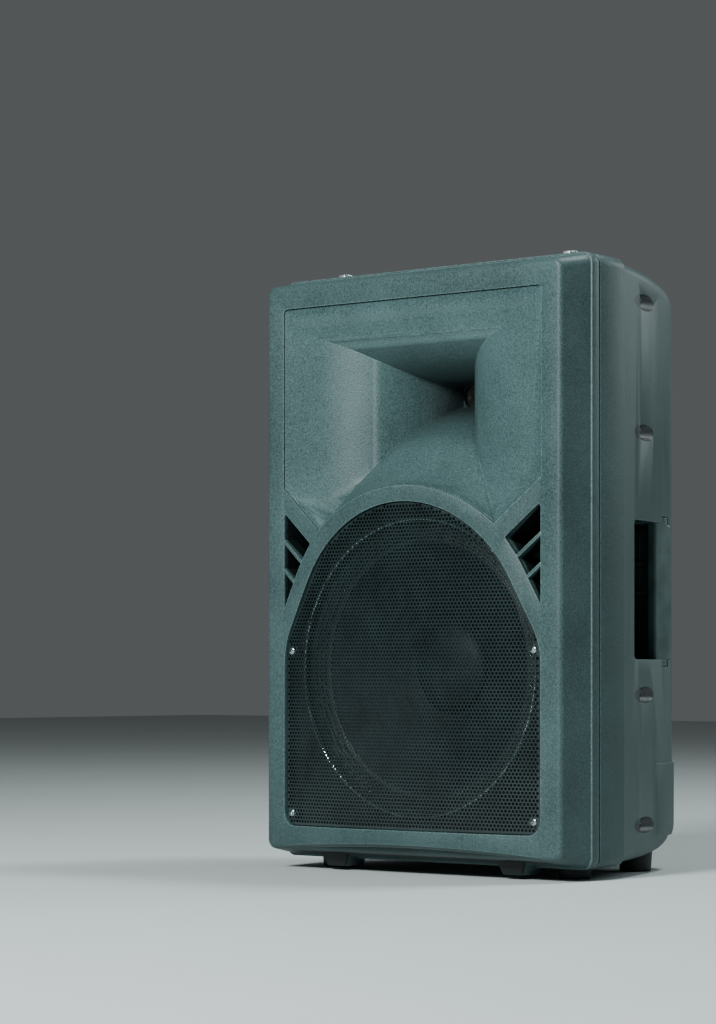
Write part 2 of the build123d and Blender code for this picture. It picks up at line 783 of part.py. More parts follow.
def handle_cup(sign):
    """Pocket behind the hand opening, with ribs on its floor and a ledge for each grip tab."""
    cup = side_prism(cup_outline(cup_wall), sign, cup_floor_x - cup_wall, rim_width / 2)
    cup -= side_prism(cup_outline(0), sign, cup_floor_x, rim_width / 2 + 1)
    middle = (handle_low + handle_high) / 2
    reach = (handle_high - handle_low) / 2 + tab_height + fit_gap
    for end in (-1, 1):
        spot = Pos(grip_front + tab_length / 2, middle + end * (reach - tab_height / 2))
        ledge = spot * Rectangle(tab_length, tab_height)
        cup += side_prism(ledge, sign, cup_floor_x - 1, grip_face_x - grip_thickness)
    for index in range(5):
        rib = Pos((handle_front + handle_rear) / 2, handle_low + rib_inset + rib_pitch * index) * Rectangle(
            handle_rear - handle_front + 1, 2.0)
        cup += side_prism(rib, sign, cup_floor_x - 1, cup_floor_x + 6)
    return cup & shell_hull(wall)


def handle_grip(sign):
    """Flat grip across the rear of the pocket, with a tab at each end."""
    middle = (handle_low + handle_high) / 2
    length = handle_rear - fit_gap - grip_front
    tall = handle_high - handle_low - 2 * fit_gap
    corner = handle_corner - fit_gap
    bar = RectangleRounded(length + 2 * corner, tall, corner)
    bar = Pos(grip_front + length / 2 - corner, middle) * bar
    bar &= Pos(grip_front + length / 2, middle) * Rectangle(length, tall)
    tabs = Pos(grip_front + tab_length / 2, middle) * Rectangle(tab_length, tall + 2 * tab_height)
    grip = side_prism(bar + tabs, sign, grip_face_x - grip_thickness, grip_face_x)
    upright = grip.edges().filter_by(Axis.Z)
    long_edges = [e for e in upright if e.length > tall / 2]
    return fillet(long_edges, 3.0)


# Grille --------------------------------------------------------------------------------

grille_screw_seat = grille_setback - bow_at(grille_screw_x + post_radius)


def grille():
    outline = opening_outline(-grille_clearance)
    inside = opening_outline(-grille_clearance - grille_sheet)
    sheet = prism(outline, -bow_rise, recess_depth)
    sheet &= bow_band(grille_setback, grille_setback + grille_sheet, 0, mouth_corner)
    fold = prism(outline - inside, -bow_rise, recess_depth + 2)
    fold &= bow_band(grille_setback, grille_setback + grille_fold, 0, mouth_corner)
    body = sheet + fold
    for x, height in grille_screw_spots():
        body += disc(post_radius, grille_screw_seat, grille_screw_seat + grille_sheet, x, height)
        body -= disc(grille_screw_head + 0.3, -2 * bow_rise, grille_screw_seat, x, height)
        body -= disc(grille_screw_shank + 0.2, -bow_rise, recess_depth, x, height)
    return body


def grille_screw_spots():
    return [(sx * grille_screw_x, h) for sx in (-1, 1) for h in grille_screw_heights]


def pan_screw(x, height, seat, radius, head_radius, head_height, length):
    """Pan-headed screw driven backwards; seat is the depth under its head."""
    points = [(0, seat - head_height), (head_radius * 0.7, seat - head_height),
              (head_radius, seat - head_height * 0.45), (head_radius, seat),
              (radius, seat), (radius, seat + length), (0, seat + length)]
    return turned(points, x, height)


def rear_screw(x, height, seat, radius, head_radius, head_height, length):
    """Pan-headed screw driven forwards from behind."""
    points = [(0, seat + head_height), (head_radius * 0.7, seat + head_height),
              (head_radius, seat + head_height * 0.45), (head_radius, seat),
              (radius, seat), (radius, seat - length), (0, seat - length)]
    return turned(points, x, height)


def grille_screws():
    length = recess_depth - grille_screw_seat
    return [pan_screw(x, h, grille_screw_seat, grille_screw_shank, grille_screw_head, 2.4, length)
            for x, h in grille_screw_spots()]


# Woofer --------------------------------------------------------------------------------

board_back = recess_depth + board_thickness
flange_front = board_back + gasket_thickness
flange_back = flange_front + flange_thickness
basket_back = flange_front + basket_depth
top_plate_back = basket_back + plate_thickness
magnet_back = top_plate_back + magnet_thickness
cone_front = flange_front + surround_drop
lip_inner = cutout_radius - 6.0
former_outer = coil_radius + coil_wall
winding_outer = former_outer + 1.0
spider_depth = basket_back - 11.5
screw_pilot = 5.0
woofer_screw_shank = 2.2


def woofer(points):
    return turned(points, 0, woofer_height)


def woofer_gasket():
    ring = woofer([(cutout_radius, board_back), (woofer_frame_radius, board_back),
                   (woofer_frame_radius, flange_front), (cutout_radius, flange_front)])
    return ring - woofer_screw_holes(board_back - 1, flange_front + 1)


def woofer_screw_holes(depth_from, depth_to):
    holes = []
    for index in range(woofer_screw_count):
        x, height = woofer_screw_spot(index)
        holes.append(disc(woofer_screw_shank, depth_from, depth_to, x, height))
    return holes


def woofer_basket():
    neck = magnet_radius + 4.0
    wall_front = basket_back - basket_wall
    body = woofer([(lip_inner, flange_front), (woofer_frame_radius, flange_front),
                   (woofer_frame_radius, flange_back), (lip_inner + 7, flange_back),
                   (neck + 4, basket_back - 4), (neck, basket_back), (basket_bore, basket_back),
                   (basket_bore, wall_front), (neck - 3, wall_front), (lip_inner, flange_back)])
    for index in range(basket_window_count):
        centre = 360.0 / basket_window_count * index
        half = 180.0 / basket_window_count - 9.0
        ring = [(r * cos(radians(centre + a)), woofer_height + r * sin(radians(centre + a)))
                for r, a in ((104.0, -half), (156.0, -half), (156.0, half), (104.0, half))]
        body -= prism(make_face(Polyline(ring, close=True)), flange_front + 1, basket_back + 1)
    body += woofer([(spider_radius - 8, spider_depth), (spider_radius + 3.5, spider_depth),
                    (spider_radius + 1, spider_depth + 3), (spider_radius - 8, spider_depth + 3)])
    for index in range(woofer_screw_count):
        x, height = woofer_screw_spot(index)
        body -= disc(2.5, flange_front - 1, flange_back + 1, x, height)
    return body


def woofer_screw_spot(index):
    angle = radians(360.0 / woofer_screw_count * (index + 0.5))
    radius = woofer_frame_radius - 6.5
    return radius * cos(angle), woofer_height + radius * sin(angle)


def woofer_screws():
    screws = []
    for index in range(woofer_screw_count):
        x, height = woofer_screw_spot(index)
        screws.append(rear_screw(x, height, flange_back, woofer_screw_shank, 4.6, 3.0,
                                 flange_back - board_back + screw_pilot))
    return screws


def woofer_top_plate():
    bore = winding_outer + coil_clearance
    return woofer([(bore, basket_back), (magnet_radius, basket_back),
                   (magnet_radius, top_plate_back), (bore, top_plate_back)])


def woofer_magnet():
    bore = 56.0
    rim = magnet_radius + 6
    return woofer([(bore, top_plate_back), (rim, top_plate_back), (rim, magnet_back), (bore, magnet_back)])


def woofer_back_plate():
    pole = coil_radius - coil_clearance
    vent = 12.0
    back = magnet_back + plate_thickness
    return woofer([(vent, basket_back - 2), (pole, basket_back - 2), (pole, magnet_back),
                   (magnet_radius, magnet_back), (magnet_radius, back - 2), (magnet_radius - 2, back),
                   (vent + 6, back), (vent, magnet_back)])


def woofer_voice_coil():
    back = top_plate_back + coil_overhang
    winding_front = basket_back - coil_overhang
    return woofer([(coil_radius, cone_rear - 4), (former_outer, cone_rear - 4),
                   (former_outer, winding_front), (winding_outer, winding_front),
                   (winding_outer, back), (coil_radius, back)])


def woofer_cone():
    return woofer([(former_outer, cone_rear), (cone_edge_radius, cone_front),
                   (cone_edge_radius, cone_front + cone_wall), (former_outer, cone_rear + cone_wall)])


def cone_depth_at(radius):
    slope = (cone_rear - cone_front) / (cone_edge_radius - former_outer)
    return cone_rear - (radius - former_outer) * slope


def dome(rim, rise, skin, base, height, towards):
    """Thin spherical cap about the depth axis; base is its rim's depth, towards is the way it bulges."""
    curve = (rim ** 2 + rise ** 2) / (2 * rise)
    centre = base + towards * (rise - curve)
    spot = Location((0, y_at(centre), z_at(height)))
    shell = spot * Sphere(curve) - spot * Sphere(curve - skin)
    return shell & disc(rim, min(base, base + towards * (rise + 1)), max(base, base + towards * (rise + 1)),
                        height=height)


def woofer_dust_cap():
    """Shallow dome whose rim stands on the cone."""
    foot = cone_depth_at(cap_radius)
    cap = dome(cap_radius, cap_rise, cap_wall, foot, woofer_height, -1)
    behind = woofer([(former_outer, cone_rear), (cone_edge_radius, cone_front),
                     (cone_edge_radius, cone_rear + 5), (former_outer, cone_rear + 5)])
    return cap - behind


def woofer_surround():
    """Pleated cloth edge that falls from the frame to the cone."""
    skin = 0.8
    start = (cutout_radius - fit_gap, flange_front - fit_gap - skin)
    end = (cone_edge_radius + fit_gap, cone_front - fit_gap - skin)
    front = [start, (lip_inner, start[1])]
    for index in range(1, 2 * surround_pleats):
        share = index / (2 * surround_pleats)
        swing = -pleat_height if index % 2 else pleat_height
        radius = lip_inner + (end[0] - lip_inner) * share
        front.append((radius, start[1] + (end[1] - start[1]) * share + swing))
    front += [end, (cone_edge_radius - 5.0, cone_depth_at(cone_edge_radius - 5.0) - fit_gap - skin)]
    rear = [(r, d + skin) for r, d in reversed(front)]
    return woofer(front + rear)


def woofer_spider():
    """Corrugated ring that centres the voice coil; it rises from the basket's ledge to the former."""
    inner = former_outer + fit_gap
    crest = spider_depth - fit_gap - 1.0
    front = [(inner, crest - spider_rise), (inner + 3, crest - spider_rise)]
    steps = 2 * spider_rolls
    run = spider_radius - 8 - inner - 3
    for index in range(1, steps):
        share = index / steps
        swing = -1.2 if index % 2 else 1.2
        front.append((inner + 3 + run * share, crest - spider_rise * (1 - share) + swing))
    front += [(spider_radius - 8, crest), (spider_radius, crest)]
    rear = [(r, d + 1.0) for r, d in reversed(front)]
    return woofer(front + rear)


# Compression driver --------------------------------------------------------------------

driver_front = throat_depth + driver_flange
driver_plate_back = driver_front + driver_plate
driver_magnet_back = driver_plate_back + driver_magnet_thickness
driver_gap_back = driver_magnet_back + 5.0
driver_play = 0.5


def driver(points):
    return turned(points, 0, driver_height)


def driver_front_plate():
    body = driver([(throat_bore, driver_front), (driver_radius, driver_front),
                   (driver_radius, driver_plate_back), (throat_bore, driver_plate_back)])
    for index in range(4):
        x, height = driver_bolt(index)
        body -= disc(2.5, driver_front - 1, driver_plate_back, x, driver_height + height)
    return body


def driver_magnet():
    return driver([(28.0, driver_plate_back), (driver_radius + 4, driver_plate_back),
                   (driver_radius + 4, driver_magnet_back), (28.0, driver_magnet_back)])


def driver_top_plate():
    bore = dome_radius + 1.8
    return driver([(bore, driver_magnet_back), (driver_radius - 2, driver_magnet_back),
                   (driver_radius - 2, driver_gap_back), (bore, driver_gap_back)])


def driver_pole_piece():
    pole = dome_radius - driver_play
    return driver([(throat_bore, driver_plate_back), (pole, driver_plate_back), (pole, driver_gap_back),
                   (throat_bore - 4, driver_gap_back)])


def driver_diaphragm():
    """Dome with its voice coil former."""
    base = driver_gap_back + 1.3
    rim = dome_radius + 0.7
    former = disc(rim, driver_gap_back - 4, base, height=driver_height)
    former -= disc(rim - diaphragm_skin, driver_gap_back - 5, base + 1, height=driver_height)
    return dome(rim, 8.0, diaphragm_skin, base, driver_height, 1) + former


def driver_suspension():
    inner = dome_radius + 0.7 + fit_gap
    return driver([(inner, driver_gap_back + fit_gap), (34.0, driver_gap_back + fit_gap),
                   (34.0, driver_gap_back + 1.0), (inner, driver_gap_back + 1.0)])


def driver_cover():
    outer = driver_radius - 3
    back = driver_gap_back + driver_cover_depth
    return driver([(outer - 11, driver_gap_back), (outer, driver_gap_back), (outer, back - 3),
                   (outer - 3, back), (0, back), (0, back - 2.5), (outer - 5, back - 2.5),
                   (outer - 5, driver_gap_back + 3), (outer - 11, driver_gap_back + 3)])


def driver_screws():
    screws = []
    for index in range(4):
        x, height = driver_bolt(index)
        screws.append(pan_screw(x, driver_height + height, throat_depth - 1, 2.5, 4.4, 3.0, 13.0))
    return screws


# Crossover, plate, fittings ------------------------------------------------------------

board_x = 70.0
board_low = 330.0
board_high = 430.0
board_sheet = 1.6
rear_inside = body_depth - wall
board_rear = rear_inside - 20.0
board_front = board_rear - board_sheet


def standoff_spots():
    return [(sx * (board_x - 7), h) for sx in (-1, 1) for h in (board_low + 7, board_high - 7)]


def crossover_board():
    body = block(-board_x, board_x, board_front, board_rear, board_low, board_high)
    for x, height in standoff_spots():
        body -= disc(1.7, board_front - 1, board_rear + 1, x, height)
    return body


def crossover_standoffs():
    return [disc(4.0, board_rear, rear_inside, x, h) for x, h in standoff_spots()]


def crossover_screws():
    return [pan_screw(x, h, board_front, 1.7, 3.4, 2.2, board_sheet) for x, h in standoff_spots()]


def crossover_coils():
    coils = []
    for x, height in ((-38.0, 392.0), (30.0, 396.0)):
        coils.append(turned([(9.0, board_front - 20), (24.0, board_front - 20), (24.0, board_front),
                             (9.0, board_front)], x, height))
    return coils


def crossover_capacitors():
    caps = []
    for x in (-48.0, -20.0, 8.0):
        lying = Plane(origin=(x, y_at(board_front - 9.0), z_at(board_low + 8)))
        caps.append(extrude(lying * Circle(9.0), amount=30))
    return caps


def crossover_resistors():
    return [block(24.0, 54.0, board_front - 8, board_front, low, low + 9) for low in (338.0, 352.0)]


plate_seat = body_depth - plate_recess - 3.0
plate_sheet = 2.0


def connector_plate():
    outline = Pos(0, plate_centre) * RectangleRounded(plate_width, plate_height, 5.5)
    body = prism(outline, plate_seat, plate_seat + plate_sheet)
    for sign in (-1, 1):
        body -= disc(socket_radius, plate_seat - 1, plate_seat + plate_sheet + 1, sign * socket_x,
                     plate_centre)
    for x, height in plate_screw_spots():
        body -= disc(1.8, plate_seat - 1, plate_seat + plate_sheet + 1, x, height)
    return body


def speaker_socket(sign):
    """Round locking socket: square flange, open barrel, centre post."""
    back = plate_seat + plate_sheet
    flange = prism(Pos(sign * socket_x, plate_centre) * RectangleRounded(32.0, 32.0, 4.0), back, back + 2.0)
    barrel = disc(socket_radius, back - 24, back, sign * socket_x, plate_centre)
    body = flange + barrel
    body -= disc(socket_radius - 2.5, back - 21, back + 3, sign * socket_x, plate_centre)
    body += disc(5.0, back - 22, back - 8, sign * socket_x, plate_centre)
    return body


def plate_screws():
    seat = plate_seat + plate_sheet
    return [rear_screw(x, h, seat, 1.6, 3.4, 2.0, plate_sheet + 3.5) for x, h in plate_screw_spots()]


def case_screws():
    screws = []
    for sign in (-1, 1):
        for offset in well_offsets:
            screws.append(rear_screw(sign * side_half(well_depth), mid_height + offset, well_seat,
                                     case_screw_radius, 5.2, 3.6, well_seat - 42.0))
    return screws


def shell_top(depth):
    share = (depth - split_depth - seam_gap) / (collar_end - split_depth - seam_gap)
    return z_at(mid_height + rim_height / 2 - 1.2 * share)


def rigging_washers():
    washers = []
    for sign in (-1, 1):
        x = sign * rigging_x
        y = y_at(rigging_depth)
        plane = Plane(origin=(x, y, shell_top(rigging_depth)), x_dir=(1, 0, 0), z_dir=(0, -1, 0))
        edges = Polyline([(rigging_hole, -1), (rigging_washer_radius, -1), (rigging_washer_radius, 1.6),
                          (rigging_washer_radius - 1.4, 3.0), (rigging_hole, 3.0)], close=True)
        ring = revolve(plane * make_face(edges), axis=Axis((x, y, 0), (0, 0, 1)))
        washers.append(ring - collar(0))
    return washers


def rigging_bolts():
    bolts = []
    for sign in (-1, 1):
        seat = shell_top(rigging_depth) + 3.0
        head = Plane(origin=(sign * rigging_x, y_at(rigging_depth), seat)) * RegularPolygon(9.2, 6)
        bolt = extrude(head, amount=5.5)
        bolt += rod_z(5.0, seat - 33, seat, sign * rigging_x, y_at(rigging_depth))
        bolts.append(bolt)
    return bolts


def rigging_inserts():
    inserts = []
    for sign in (-1, 1):
        top = shell_top(rigging_depth) - wall - 0.5
        insert = rod_z(14.0, top - 4, top, sign * rigging_x, y_at(rigging_depth))
        insert += rod_z(9.0, top - 30, top - 4, sign * rigging_x, y_at(rigging_depth))
        insert -= rod_z(5.0, top - 31, top + 1, sign * rigging_x, y_at(rigging_depth))
        inserts.append(insert)
    return inserts


def pole_socket():
    y = y_at(pole_depth)
    seat = z_at(mid_height - top_half(pole_depth))
    low = seat - 3.0
    body = rod_z(pole_radius + 20.0, low, seat + 2, 0, y) - shell_hull(0)
    body += rod_z(pole_radius + pole_tube_wall, low, low + pole_length + 3, 0, y)
    body -= rod_z(pole_radius, low - 1, low + pole_length, 0, y)
    for x, spot_y in pole_screw_spots():
        body -= rod_z(2.1, low - 1, seat + 3, x, spot_y)
    return body


def up_screw(x, y, seat, radius, head_radius, head_height, length):
    """Pan-headed screw driven upwards."""
    plane = Plane(origin=(x, y, seat), x_dir=(1, 0, 0), z_dir=(0, -1, 0))
    outline = Polyline([(0, -head_height), (head_radius * 0.7, -head_height),
                        (head_radius, -head_height * 0.45), (head_radius, 0),
                        (radius, 0), (radius, length), (0, length)], close=True)
    return revolve(plane * make_face(outline), axis=Axis((x, y, 0), (0, 0, 1)))


def pole_screws():
    seat = z_at(mid_height - top_half(pole_depth)) - 3.0
    return [up_screw(x, y, seat, 2.0, 4.2, 2.6, 10.0) for x, y in pole_screw_spots()]


def rubber_feet():
    feet = []
    outer = collar(0) + shell_hull(0)
    for x, y in foot_spots():
        plane = Plane(origin=(x, y, 0), x_dir=(1, 0, 0), z_dir=(0, -1, 0))
        outline = Polyline([(6.0, 0), (foot_radius - 3, 0), (foot_radius - 1.5, 1.5), (foot_radius, 26),
                            (2.0, 26), (2.0, 8.0), (6.0, 8.0)], close=True)
        foot = revolve(plane * make_face(outline), axis=Axis((x, y, 0), (0, 0, 1)))
        feet.append(foot - outer)
    return feet


def foot_screws():
    return [up_screw(x, y, 8.0, 2.0, 4.8, 2.8, 20.0) for x, y in foot_spots()]


pad_height = 535.0


def damping_pad():
    return prism(Pos(0, pad_height) * RectangleRounded(180.0, 130.0, 12.0), rear_inside - 26.0,
                 rear_inside - fit_gap)


builders = {
    "front_baffle": front_baffle,
    "horn_flare": horn_flare,
    "port_duct_left": lambda: port_duct(-1),
    "port_duct_right": lambda: port_duct(1),
    "rear_shell": rear_shell,
    "case_seal": lambda: seal_ring(seal_thickness),
    "case_screws": case_screws,
    "handle_cup_left": lambda: handle_cup(-1),
    "handle_cup_right": lambda: handle_cup(1),
    "handle_grip_left": lambda: handle_grip(-1),
    "handle_grip_right": lambda: handle_grip(1),
    "grille": grille,
    "grille_screws": grille_screws,
    "woofer_gasket": woofer_gasket,
    "woofer_basket": woofer_basket,
    "woofer_screws": woofer_screws,
    "woofer_top_plate": woofer_top_plate,
    "woofer_magnet": woofer_magnet,
    "woofer_back_plate": woofer_back_plate,
    "woofer_voice_coil": woofer_voice_coil,
    "woofer_cone": woofer_cone,
    "woofer_dust_cap": woofer_dust_cap,
    "woofer_surround": woofer_surround,
    "woofer_spider": woofer_spider,
    "driver_front_plate": driver_front_plate,
    "driver_magnet": driver_magnet,
    "driver_top_plate": driver_top_plate,
    "driver_pole_piece": driver_pole_piece,
    "driver_diaphragm": driver_diaphragm,
    "driver_suspension": driver_suspension,
    "driver_cover": driver_cover,
    "driver_screws": driver_screws,
    "crossover_board": crossover_board,
    "crossover_standoffs": crossover_standoffs,
    "crossover_screws": crossover_screws,
    "crossover_coils": crossover_coils,
    "crossover_capacitors": crossover_capacitors,
    "crossover_resistors": crossover_resistors,
    "connector_plate": connector_plate,
    "speaker_socket_left": lambda: speaker_socket(-1),
    "speaker_socket_right": lambda: speaker_socket(1),
    "plate_screws": plate_screws,
    "rigging_washers": rigging_washers,
    "rigging_bolts": rigging_bolts,
    "rigging_inserts": rigging_inserts,
    "pole_socket": pole_socket,
    "pole_screws": pole_screws,
    "rubber_feet": rubber_feet,
    "foot_screws": foot_screws,
    "damping_pad": damping_pad,
}

os.makedirs("parts", exist_ok=True)
for node, build in builders.items():
    solid = build()
    if isinstance(solid, list):
        solid = Compound(children=solid)
    export_step(solid, "parts/" + node + ".step")
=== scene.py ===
import bmesh
import bpy
from math import cos, pi, radians, sin, sqrt
from mathutils import Matrix, Vector, noise


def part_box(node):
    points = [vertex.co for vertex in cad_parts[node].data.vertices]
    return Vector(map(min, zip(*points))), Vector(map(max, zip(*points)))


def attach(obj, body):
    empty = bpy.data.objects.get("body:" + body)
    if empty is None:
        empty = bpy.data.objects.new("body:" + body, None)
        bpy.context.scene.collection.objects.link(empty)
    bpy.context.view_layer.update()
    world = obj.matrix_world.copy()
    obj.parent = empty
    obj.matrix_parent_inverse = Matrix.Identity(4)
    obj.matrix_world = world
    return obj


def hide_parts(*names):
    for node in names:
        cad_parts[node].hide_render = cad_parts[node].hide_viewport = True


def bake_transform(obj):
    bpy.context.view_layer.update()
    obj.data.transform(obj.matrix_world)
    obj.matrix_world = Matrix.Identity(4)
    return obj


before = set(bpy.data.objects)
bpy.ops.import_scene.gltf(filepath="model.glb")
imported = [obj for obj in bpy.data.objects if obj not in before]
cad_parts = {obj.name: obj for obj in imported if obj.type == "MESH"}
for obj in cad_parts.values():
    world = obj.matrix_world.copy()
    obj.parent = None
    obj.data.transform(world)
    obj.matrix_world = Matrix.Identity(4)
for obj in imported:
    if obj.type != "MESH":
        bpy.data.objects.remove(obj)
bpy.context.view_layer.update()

# View. A level camera stands low and far away, off the right front corner, and its shift
# lifts the frame so that the upright edges stay upright.
def add_object(name, data):
    made = bpy.data.objects.new(name, data)
    bpy.context.scene.collection.objects.link(made)
    return made


camera_data = bpy.data.cameras.new("view")
camera_data.sensor_width = 36.0
camera_data.lens = 110.9
camera_data.shift_y = 0.1538
camera_data.clip_end = 60.0
camera = add_object("view", camera_data)
camera.location = (2.311, -2.932, 0.236)
camera.rotation_euler = (radians(90.0), 0.0, radians(40.65))
bpy.context.scene.camera = camera


# Floor and light. A matt pale sheet runs under the cabinet. A large soft lamp lights
# the front, a second one behind grazes the tapered side, and a small one hangs overhead.
class Value:
    """A node's socket that sums, scales and compares like a number."""

    def __init__(self, owner, socket):
        self.owner = owner
        self.socket = socket

    def math(self, operation, first, second):
        return self.owner.node("ShaderNodeMath", {"operation": operation}, {0: first, 1: second})

    def __add__(self, other):
        return self.math("ADD", self, other)

    def __radd__(self, other):
        return self.math("ADD", other, self)

    def __sub__(self, other):
        return self.math("SUBTRACT", self, other)

    def __rsub__(self, other):
        return self.math("SUBTRACT", other, self)

    def __mul__(self, other):
        return self.math("MULTIPLY", self, other)

    def __rmul__(self, other):
        return self.math("MULTIPLY", other, self)

    def __mod__(self, other):
        return self.math("MODULO", self, other)

    def __gt__(self, other):
        return self.math("GREATER_THAN", self, other)

    def __lt__(self, other):
        return self.math("LESS_THAN", self, other)


class Nodes:
    """A node tree that takes each node's kind, settings and socket values in one call."""

    def __init__(self, tree):
        self.tree = tree

    def node(self, kind, settings=None, sockets=None, output=0):
        made = self.tree.nodes.new(kind)
        for key, value in (settings or {}).items():
            setattr(made, key, value)
        for key, value in (sockets or {}).items():
            for single in value if isinstance(value, list) else [value]:
                if isinstance(single, Value):
                    self.tree.links.new(single.socket, made.inputs[key])
                else:
                    made.inputs[key].default_value = single
        return Value(self, made.outputs[output])

    def vector(self, operation, first, second):
        return self.node("ShaderNodeVectorMath", {"operation": operation}, {0: first, 1: second})

    def part(self, axis, where):
        """One coordinate of a vector, by the number of its axis."""
        return self.node("ShaderNodeSeparateXYZ", None, {0: where}, axis)

    def joined(self, x=0.0, y=0.0, z=0.0):
        return self.node("ShaderNodeCombineXYZ", None, {0: x, 1: y, 2: z})


class Finish(Nodes):
    """One material: its node tree, its surface shader and the object's own coordinates."""

    def __init__(self, name):
        self.material = bpy.data.materials.new(name)
        self.material.use_nodes = True
        super().__init__(self.material.node_tree)
        self.surface = self.tree.nodes["Principled BSDF"]
        self.place = self.node("ShaderNodeTexCoord", output="Object")

    def noise(self, scale, detail, rough=0.5, where=None):
        return self.node("ShaderNodeTexNoise", None, {
            "Vector": where or self.place, "Scale": scale, "Detail": detail, "Roughness": rough,
        }, "Fac")

    def cells(self, scale):
        return self.node("ShaderNodeTexVoronoi", None,
                         {"Vector": self.place, "Scale": scale}, "Distance")

    def stretched(self, x, y, z):
        """The object's own coordinates, scaled along each axis."""
        return self.node("ShaderNodeMapping", None, {"Vector": self.place, "Scale": (x, y, z)})

    def spread(self, value, low, high, to_low=0.0, to_high=1.0):
        """A value's range from low to high, laid over another range and held at its ends."""
        return self.node("ShaderNodeMapRange", {"clamp": True},
                         {0: value, 1: low, 2: high, 3: to_low, 4: to_high})

    def roughness(self, pattern, low, high):
        """Roughness that runs from low to high over the middle of a noise pattern's values."""
        return self.spread(pattern, 0.3, 0.7, low, high)

    def mix(self, factor, first, second):
        """A colour that runs from the first to the second as factor runs from 0 to 1."""
        return self.node("ShaderNodeMix", {"data_type": "RGBA"},
                         {0: factor, 6: first, 7: second}, 2)

    def edges(self, width):
        """One on faces, less beside an edge where a broken corner is rounded."""
        rounded = self.node("ShaderNodeBevel", {"samples": 4}, {"Radius": width})
        straight = self.node("ShaderNodeNewGeometry", output="Normal")
        return self.node("ShaderNodeVectorMath", {"operation": "DOT_PRODUCT"},
                         {0: rounded, 1: straight}, "Value")

    def bump(self, height, distance, strength):
        return self.node("ShaderNodeBump", None,
                         {"Height": height, "Distance": distance, "Strength": strength})

    def dress(self, **sockets):
        """The material, with its surface shader's sockets set or linked."""
        for key, value in sockets.items():
            target = self.surface.inputs[key.replace("_", " ")]
            if isinstance(value, Value):
                self.tree.links.new(value.socket, target)
            else:
                target.default_value = value
        return self.material


def soft_lamp(name, place, target, size, watts, tint):
    lamp = bpy.data.lights.new(name, "AREA")
    lamp.shape = "RECTANGLE"
    lamp.size, lamp.size_y = size
    lamp.energy = watts
    lamp.color = tint
    stand = add_object(name, lamp)
    stand.location = place
    stand.rotation_euler = (Vector(target) - Vector(place)).to_track_quat("-Z", "Y").to_euler()


floor_half = 9.0
floor_corners = [(x * floor_half, y * floor_half, 0.0)
                 for x, y in ((-1, -1), (1, -1), (1, 1), (-1, 1))]
floor_mesh = bpy.data.meshes.new("floor")
floor_mesh.from_pydata(floor_corners, [], [(0, 1, 2, 3)])
floor = add_object("floor", floor_mesh)
floor_sheet = Finish("floor_sheet")
mottle = floor_sheet.noise(3.0, 3.0)
floor_mesh.materials.append(floor_sheet.dress(
    Base_Color=floor_sheet.mix(mottle, (0.44, 0.47, 0.47, 1), (0.49, 0.52, 0.52, 1)),
    Roughness=0.9))

soft_lamp("key", place=(0.35, -3.3, 2.2), target=(0, 0, 0.4), size=(0.9, 0.8), watts=235.0,
          tint=(0.93, 1.0, 1.0))
soft_lamp("rim", place=(1.3, 3.5, 1.9), target=(0, 0, 0.35), size=(0.9, 1.4), watts=48.0,
          tint=(0.85, 1.0, 1.0))
soft_lamp("top", place=(0.85, 0.95, 3.5), target=(0, 0, 0.35), size=(0.6, 0.6), watts=75.0,
          tint=(0.90, 1.0, 1.0))
world = bpy.data.worlds.new("studio")
world.use_nodes = True
fill_light = world.node_tree.nodes["Background"].inputs
fill_light["Color"].default_value = (0.62, 0.66, 0.67, 1)
fill_light["Strength"].default_value = 0.15
bpy.context.scene.world = world


# Mouldings. The cabinet is two deep mouldings of foamed plastic with a bead-blasted skin,
# butted along a groove. The horn, the port ducts and the hand pockets are moulded apart.
# Their corners are broken by small radii, and painted shade turns the insides of the openings near
# black.
def baked(made):
    """The object with its modifiers turned into a plain mesh."""
    bpy.context.view_layer.update()
    final = made.evaluated_get(bpy.context.evaluated_depsgraph_get())
    result = bpy.data.meshes.new_from_object(final)
    result.name = made.name
    made.modifiers.clear()
    made.data = result
    return made


def smoothed(made, crisp):
    """Smooth shading over curves, with edges sharper than crisp degrees left sharp."""
    made.data.polygons.foreach_set("use_smooth", [True] * len(made.data.polygons))
    made.data.set_sharp_from_angle(angle=radians(crisp))
    return made


def plain_mesh(name, shape):
    """The mesh that a finished bmesh holds. The bmesh is freed."""
    result = bpy.data.meshes.new(name)
    shape.to_mesh(result)
    shape.free()
    return result


def welded_copy(node):
    """A copy of a node's mesh with its loose triangles welded."""
    shape = bmesh.new()
    shape.from_mesh(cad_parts[node].data)
    bmesh.ops.remove_doubles(shape, verts=shape.verts, dist=0.00001)
    return shape


def merged_copy(node):
    """A welded copy whose flat faces are made whole."""
    shape = welded_copy(node)
    bmesh.ops.dissolve_limit(shape, angle_limit=radians(0.5), verts=shape.verts, edges=shape.edges)
    return shape


def islands(node):
    """Lowest and highest corner of each separate solid of a node."""
    shape = merged_copy(node)
    waiting = set(shape.verts)
    found = []
    for first in shape.verts:
        if first not in waiting:
            continue
        waiting.discard(first)
        front = [first]
        group = []
        while front:
            vertex = front.pop()
            group.append(vertex.co.copy())
            for edge in vertex.link_edges:
                other = edge.other_vert(vertex)
                if other in waiting:
                    waiting.discard(other)
                    front.append(other)
        found.append(tuple(Vector([pick(point[i] for point in group) for i in range(3)])
                           for pick in (min, max)))
    shape.free()
    return found


